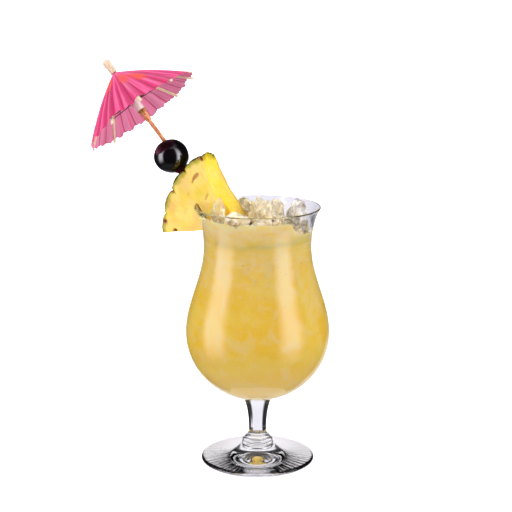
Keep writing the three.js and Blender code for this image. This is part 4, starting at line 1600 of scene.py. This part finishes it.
@dataclass
class Canopy:
    """The pleated paper canopy with its ribs and stretchers, in the stick's frame."""

    pick: Pick
    radius: float = 37.6
    drop: float = 28.3
    bow: float = 1.7
    pleats: int = 3
    pleat_depth: float = 1.25
    small_fold: float = 0.2
    crumple: float = 0.35
    ragged: float = 1.3
    trim: float = 0.2
    thickness: float = 0.18
    rows: int = 34
    steps_per_fold: int = 6
    rib_from: float = 5.8
    rib_width: float = 1.6
    rib_thickness: float = 0.8
    rib_below: float = 1.15
    stretcher_foot: Pair = (4.0, 21.6)
    stretcher_at: float = 25.0
    stretcher_width: float = 1.6
    stretcher_thickness: float = 0.3
    # Each rib's angle round the stick, and how far it reaches past the paper
    ribs: tuple[Pair, ...] = (
        (22, 1), (56, 1.2), (90, 0.4), (127, -0.6), (168, 1.4), (207, 1.4), (237, -1.2), (277, -1.4),
        (312, 0.3), (347, 0.5),
    )
    # Tears in the paper's edge: angle round the stick, half width and depth
    tears: tuple[tuple[float, float, float], ...] = ((283, 11, 3.4), (313, 7, 2.6), (60, 8, 1.5))
    # Brushed patches: angle round the stick, distance from the peak, half width and half length
    patches: tuple[tuple[float, float, float, float], ...] = (
        (262, 9, 24, 6.5), (222, 17, 11, 6.5), (318, 12, 15, 8), (338, 19, 10, 8), (20, 14, 12, 6),
        (80, 12, 14, 6), (130, 15, 12, 6), (175, 12, 12, 6),
    )

    def make(self) -> None:
        """Builds and dresses the paper, its ribs and its stretchers."""
        self.make_paper()
        self.make_ribs()
        self.make_stretchers()

    def fall(self, radius: float) -> float:
        """Gives the paper's drop below its peak at a radius: a cone, bowed outwards."""
        share = radius / self.radius
        return self.drop * share - self.bow * math.sin(math.pi * share)

    def edge_at(self, angle: float) -> float:
        """Gives the radius of the paper's ragged edge at an angle in degrees."""
        coarse, fine = noise.noise(Vector((angle / 4.5, 0, 0))), noise.noise(Vector((angle, 5, 0)))
        torn = abs(coarse) + 0.4 * abs(fine)
        missing = sum(depth * math.exp(-(((angle - at) / width) ** 2)) for at, width, depth in self.tears)
        return self.radius - self.trim - self.ragged * torn - missing

    def columns(self) -> list[tuple[float, float, float]]:
        """Gives each column's angle in degrees, how far into a valley it is, and how shaded its side is."""
        found = []
        count = self.pleats * 2 * self.steps_per_fold
        for index, (angle, _) in enumerate(self.ribs):
            last = index + 1 == len(self.ribs)
            after = self.ribs[0][0] + 360 if last else self.ribs[index + 1][0]
            for step in range(count):
                fold = 2 * self.pleats * step / count
                uneven = noise.cell(Vector((index * 3.7, math.floor(fold) * 1.9, 0.5)))
                # Painted shade: the first half of each pleat is marked darker, unevenly from pleat to pleat
                shaded = 0.62 * (fold % 2 < 1) + 0.38 * uneven
                found.append((lerp(angle, after, step / count), 1 - abs(fold % 2 - 1), shaded))
        return found

    def rib_share(self, angle: float, radius: float) -> float:
        """Says how much of a rib lies under a point of the paper."""
        nearest = min(abs((angle - rib + 180) % 360 - 180) for rib, _ in self.ribs)
        off = math.radians(nearest) * radius
        return (1 - ease(0.45 * self.rib_width, 0.7 * self.rib_width, off)) * ease(5, 8, radius)

    def paint_share(self, angle: float, radius: float) -> float:
        """Says how much brushed colour lies on a point of the paper."""
        most = 0.0
        for middle, distance, width, length in self.patches:
            across = ((angle - middle + 180) % 360 - 180) / width
            along = (radius - distance) / length
            most = max(most, 1 - ease(0.55, 1.1, math.hypot(across, along)))
        return most

    def make_paper(self) -> Object:
        """Builds the pleated sheet, with what its material needs at each point."""
        columns = self.columns()
        bore = self.pick.radius + self.pick.gap * 0.3
        edges = [self.edge_at(angle % 360) for angle, _, _ in columns]
        points, folds, ribs, paints, polars = [], [], [], [], []
        for row in range(self.rows + 1):
            for (angle, valley, _), edge in zip(columns, edges):
                turn = math.radians(angle)
                down = row / self.rows
                radius = lerp(bore, lerp(self.radius - self.trim, edge, down), down)
                share = radius / self.radius
                small = abs((valley * 3) % 2 - 1) * self.small_fold
                rough = noise.noise(Vector((angle / 7, radius / 6, 3.0)))
                sag = valley * self.pleat_depth + small
                height = -self.fall(radius) - share * (sag + self.crumple * max(-0.3, rough)) - 0.05
                points.append(Vector((radius * math.cos(turn), radius * math.sin(turn), height)))
                folds.append(valley * ease(0.05, 0.4, share))
                ribs.append(self.rib_share(angle, radius))
                paints.append(self.paint_share(angle, radius))
                polars.append(Vector((angle * 0.4, radius * 0.07, 0.0)))
        count = len(columns)
        total, rim = len(points), self.rows * count
        faces = []
        for near in range(0, rim, count):
            for column in range(count):
                after = (column + 1) % count
                faces.append((near + column, near + count + column, near + count + after, near + after))
        below = Vector((0, 0, -self.thickness))
        under = Shell([point + below for point in points], [face[::-1] for face in faces])
        shell = Shell(points, faces).joined(under)
        for column in range(count):
            after = (column + 1) % count
            shell.faces.append((rim + column, rim + total + column, rim + total + after, rim + after))
            shell.faces.append((after, total + after, total + column, column))
        mesh = shell.placed(self.pick.frame).to_mesh("paper", 60)
        pleat_shades = [shaded for _, _, shaded in columns] * (self.rows + 1)
        for name, values in (("fold", folds), ("rib", ribs), ("paint", paints), ("pleat_shade", pleat_shades)):
            store(mesh, name, values * 2)
        store(mesh, "inside", [0.0] * total + [1.0] * total)
        store_vectors(mesh, "polar", polars * 2)
        return piece("paper_canopy", mesh, TissuePaper().build(), "tissue_paper", ["parasol_canopy"])

    def make_ribs(self) -> Object:
        """Lays a split bamboo rib under each ridge, by Geometry Nodes."""
        place = self.pick.frame
        bamboo = Grained("split_bamboo", "#efd8b8", "#d8b690", "#8f8a62", 0.35, 7.0, place, 0.5, 0.7).build()
        mesh = bpy.data.meshes.new("spokes")
        mesh.from_pydata([(0, 0, 0)] * len(self.ribs), [], [])
        store_vectors(mesh, "turn", [Vector((0, 0, math.radians(angle))) for angle, _ in self.ribs])
        stretches = [(self.radius + reach) / self.radius for _, reach in self.ribs]
        store_vectors(mesh, "stretch", [Vector((stretch, 1, 1)) for stretch in stretches])
        made = evaluated(mesh, "NODES", {
            "Start": self.rib_from, "Radius": self.radius, "Drop": self.drop, "Bow": self.bow,
            "Below": self.rib_below + self.rib_thickness / 2, "Width": self.rib_width,
            "Thickness": self.rib_thickness, "Material": bamboo,
        }, node_group=spoke_tree())
        made.transform(IN_METRES @ place)
        made.update()
        nodes = [f"parasol_rib_{index + 1}" for index in range(len(self.ribs))]
        return piece("bamboo_ribs", made, bamboo, "rib_wood", nodes)

    def make_stretchers(self) -> Object:
        """Bends a card strip from the collar to each rib, painted dark all over as shade under the canopy."""
        draw = random.Random(7)
        joined = Shell([], [])
        edges: list[float] = []
        foot_radius, foot_drop = self.stretcher_foot
        end_drop = self.fall(self.stretcher_at) + self.rib_below + self.rib_thickness + 0.2
        for angle, _ in self.ribs:
            turn = Matrix.Rotation(math.radians(angle), 4, "Z")
            bend = draw.uniform(0.2, 0.9)
            pull = (lerp(foot_radius, self.stretcher_at, 0.35), -foot_drop + bend)
            knots = [(foot_radius, -foot_drop), pull, (self.stretcher_at, -end_drop)]
            path = [turn @ Vector((along, 0, height)) for along, height in bezier(knots, 12)]
            strip = swept(path, self.stretcher_width, self.stretcher_thickness, turn @ Vector((0, 1, 0)))
            joined = joined.joined(strip)
            # Painted shade: every point is marked as edge, so the whole strip takes the card's dark edge
            # colour
            edges += [1.0] * len(strip.points)
        mesh = joined.placed(self.pick.frame).to_mesh("stretchers", 30)
        store(mesh, "edge", edges)
        card = CutCard("folded_card_strip", "#c47f8c", "#a45a6c", "#5a1c2c").build()
        nodes = [f"parasol_stretcher_{index + 1}" for index in range(len(self.ribs))]
        return piece("card_stretchers", mesh, card, "stretcher_card", nodes)


# The studio


@dataclass
class Panel:
    """A panel of light round the part, in degrees from the camera's side, with soft sides and soft ends."""

    azimuth: float
    half_width: float
    low: float
    high: float
    strength: float
    feather: float = 10.0
    soft: float = 8.0
    scattered_only: bool = False
    through_glass: float = 1.0


@dataclass
class Studio:
    """The pale floor, the soft surroundings and the camera."""

    camera_at: Triple = (-0.95, -806.5, 311.3)
    pitch: float = 12.94
    focal_share: float = 1400 / 512
    sensor: float = 36.0
    floor_half: float = 30000
    floor_drop: float = 0.3
    table_radius: float = 66
    table_fade: float = 44
    table_drop: float = 0.02
    table_glow: float = 0.45
    around: float = 0.03
    panels: tuple[Panel, ...] = (
        Panel(-74, 18, -24, 62, 5.1, 11, 20, through_glass=0.2),
        Panel(55, 16, -24, 62, 5.7, 11, 20, through_glass=0.2),
        Panel(180, 21, -60, 13, 1.0, 4, 5),
        Panel(152, 8, -42, -16, 1.0, 4, 5),
        Panel(0, 180, 66, 100, 1.4, 8, 8),
        Panel(0, 180, -100, -48, 0.2, 12, 10),
        Panel(0, 120, -48, -3, 0.95, 15, 10, True),
        Panel(180, 100, 0, 85, 0.75, 15, 10, True),
    )

    def make_camera(self) -> None:
        """Sets up the camera as the photograph was taken."""
        data = bpy.data.cameras.new("camera")
        data.sensor_width = self.sensor
        data.lens = self.focal_share * self.sensor
        data.clip_end = 100
        camera = bpy.data.objects.new("camera", data)
        camera.location = Vector(self.camera_at) * MM
        camera.rotation_euler = (math.radians(90 - self.pitch), 0, 0)
        bpy.context.scene.collection.objects.link(camera)
        bpy.context.scene.camera = camera

    def lay(self, name: str, outline: Sequence[Pair], height: float, glow: float, fade: Pair) -> Object:
        """Lays a flat white sheet that thins out to nothing.

        Args:
            name: The sheet's name.
            outline: Its corners.
            height: How high it lies.
            glow: The strength of its own light.
            fade: The distances from the middle where it starts to thin out and where it is gone.

        Returns:
            The sheet's object.
        """
        corners = [Vector((x, y, height)) for x, y in outline]
        mesh = Shell(corners, [tuple(range(len(corners)))]).to_mesh(name)
        material = bpy.data.materials.new(f"white_{name}")
        material.use_nodes = True
        tree = material.node_tree
        tree.nodes.clear()
        away = add(tree, "VectorMath", {0: millimetres(tree)}, operation="LENGTH").outputs["Value"]
        gone = add(tree, "MapRange", {0: away, 1: fade[0], 2: fade[1]}, **EASED)
        matt = add(tree, "BsdfPrincipled", {
            "Base Color": linear("#f2f2f2"), "Roughness": 0.9, "Specular IOR Level": 0.1,
            "Emission Color": linear("#ffffff"), "Emission Strength": glow,
        })
        shown = add(tree, "MixShader", {0: gone, 1: matt, 2: add(tree, "BsdfTransparent")})
        add(tree, "OutputMaterial", {"Surface": shown})
        mesh.materials.append(material)
        sheet = bpy.data.objects.new(name, mesh)
        bpy.context.scene.collection.objects.link(sheet)
        return sheet

    def make_floor(self) -> None:
        """Lays a small white table top, and a wide white floor that only the camera sees."""
        radius, half = self.table_radius, self.floor_half
        turns = [math.tau * step / 96 for step in range(96)]
        ring = [(radius * math.cos(turn), radius * math.sin(turn)) for turn in turns]
        table = self.lay("table_top", ring, -self.table_drop, self.table_glow, (self.table_fade, radius))
        table.visible_glossy = False
        corners = ((-half, -half), (half, -half), (half, half), (-half, half))
        wide = self.lay("floor", corners, -self.floor_drop, 1.0, (half, 2 * half))
        for kind in ("diffuse", "glossy", "transmission", "shadow"):
            setattr(wide, f"visible_{kind}", False)

    def window(self, tree: NodeTree, value: Node, low: float, high: float, feather: float) -> Node:
        """Gives a soft-edged share of 1 between two angles in degrees, and of 0 outside them.

        Args:
            tree: The world's tree.
            value: The angle's node, in radians.
            low: The lower angle.
            high: The higher angle.
            feather: Half the width of each soft edge.

        Returns:
            The share's node.
        """
        rise, fall = (
            add(tree, "MapRange", {0: value, 1: math.radians(out), 2: math.radians(inside)}, **EASED)
            for out, inside in ((low - feather, low + feather), (high + feather, high - feather))
        )
        return add(tree, "Math", {0: rise, 1: fall}, operation="MULTIPLY")

    def make_surroundings(self) -> None:
        """Surrounds the part with soft panels of light, with dark gaps that draw the glass's edges."""
        world = bpy.data.worlds.new("studio")
        bpy.context.scene.world = world
        world.use_nodes = True
        tree = world.node_tree
        tree.nodes.clear()
        across, back, up = add(tree, "SeparateXYZ", {0: add(tree, "TexCoord").outputs["Generated"]}).outputs
        front = add(tree, "Math", {0: back, 1: -1.0}, operation="MULTIPLY")
        azimuth = add(tree, "Math", {0: across, 1: front}, operation="ARCTAN2")
        elevation = add(tree, "Math", {0: up}, operation="ARCSINE")
        path = add(tree, "LightPath").outputs
        scattered, direct = (
            add(tree, "Math", {0: path["Diffuse Depth"], 1: 0.5}, operation=operation)
            for operation in ("GREATER_THAN", "LESS_THAN")
        )
        through = add(tree, "Math", {0: path["Is Transmission Ray"], 1: direct}, operation="MULTIPLY")
        light: Node | float = self.around
        for panel in self.panels:
            off = add(tree, "Math", {0: azimuth, 1: math.radians(panel.azimuth)}, operation="SUBTRACT")
            off = add(tree, "Math", {0: off, 1: math.pi, 2: -math.pi}, operation="WRAP")
            factors = [
                self.window(tree, off, -panel.half_width, panel.half_width, panel.feather),
                self.window(tree, elevation, panel.low, panel.high, panel.soft),
            ]
            if panel.scattered_only:
                factors.append(scattered)
            if panel.through_glass < 1:
                dimming = {0: through, 1: panel.through_glass - 1, 2: 1.0}
                factors.append(add(tree, "Math", dimming, operation="MULTIPLY_ADD"))
            share = factors[0]
            for factor in factors[1:]:
                share = add(tree, "Math", {0: share, 1: factor}, operation="MULTIPLY")
            light = add(tree, "Math", {0: share, 1: panel.strength, 2: light}, operation="MULTIPLY_ADD")
        lit = add(tree, "Background", {"Color": linear("#f6f4fd"), "Strength": light})
        plain = add(tree, "Background", {"Color": linear("#ffffff"), "Strength": 1.0})
        shown = add(tree, "MixShader", {0: path["Is Camera Ray"], 1: lit, 2: plain})
        add(tree, "OutputWorld", {"Surface": shown})

    def make(self) -> None:
        """Sets up the whole studio."""
        self.make_camera()
        self.make_floor()
        self.make_surroundings()
        bpy.context.scene.view_settings.view_transform = "Standard"


def main() -> None:
    """Builds every sub-assembly in order."""
    logging.basicConfig(level=logging.INFO, format="%(name)s: %(message)s")
    glass = TulipGlass()
    glass.make()
    IcedDrink(glass).make()
    IceLumps().make()
    wedge = PineappleWedge()
    wedge.make()
    pick = Pick(wedge)
    pick.make()
    Canopy(pick).make()
    Studio().make()


if __name__ == "__main__":
    main()
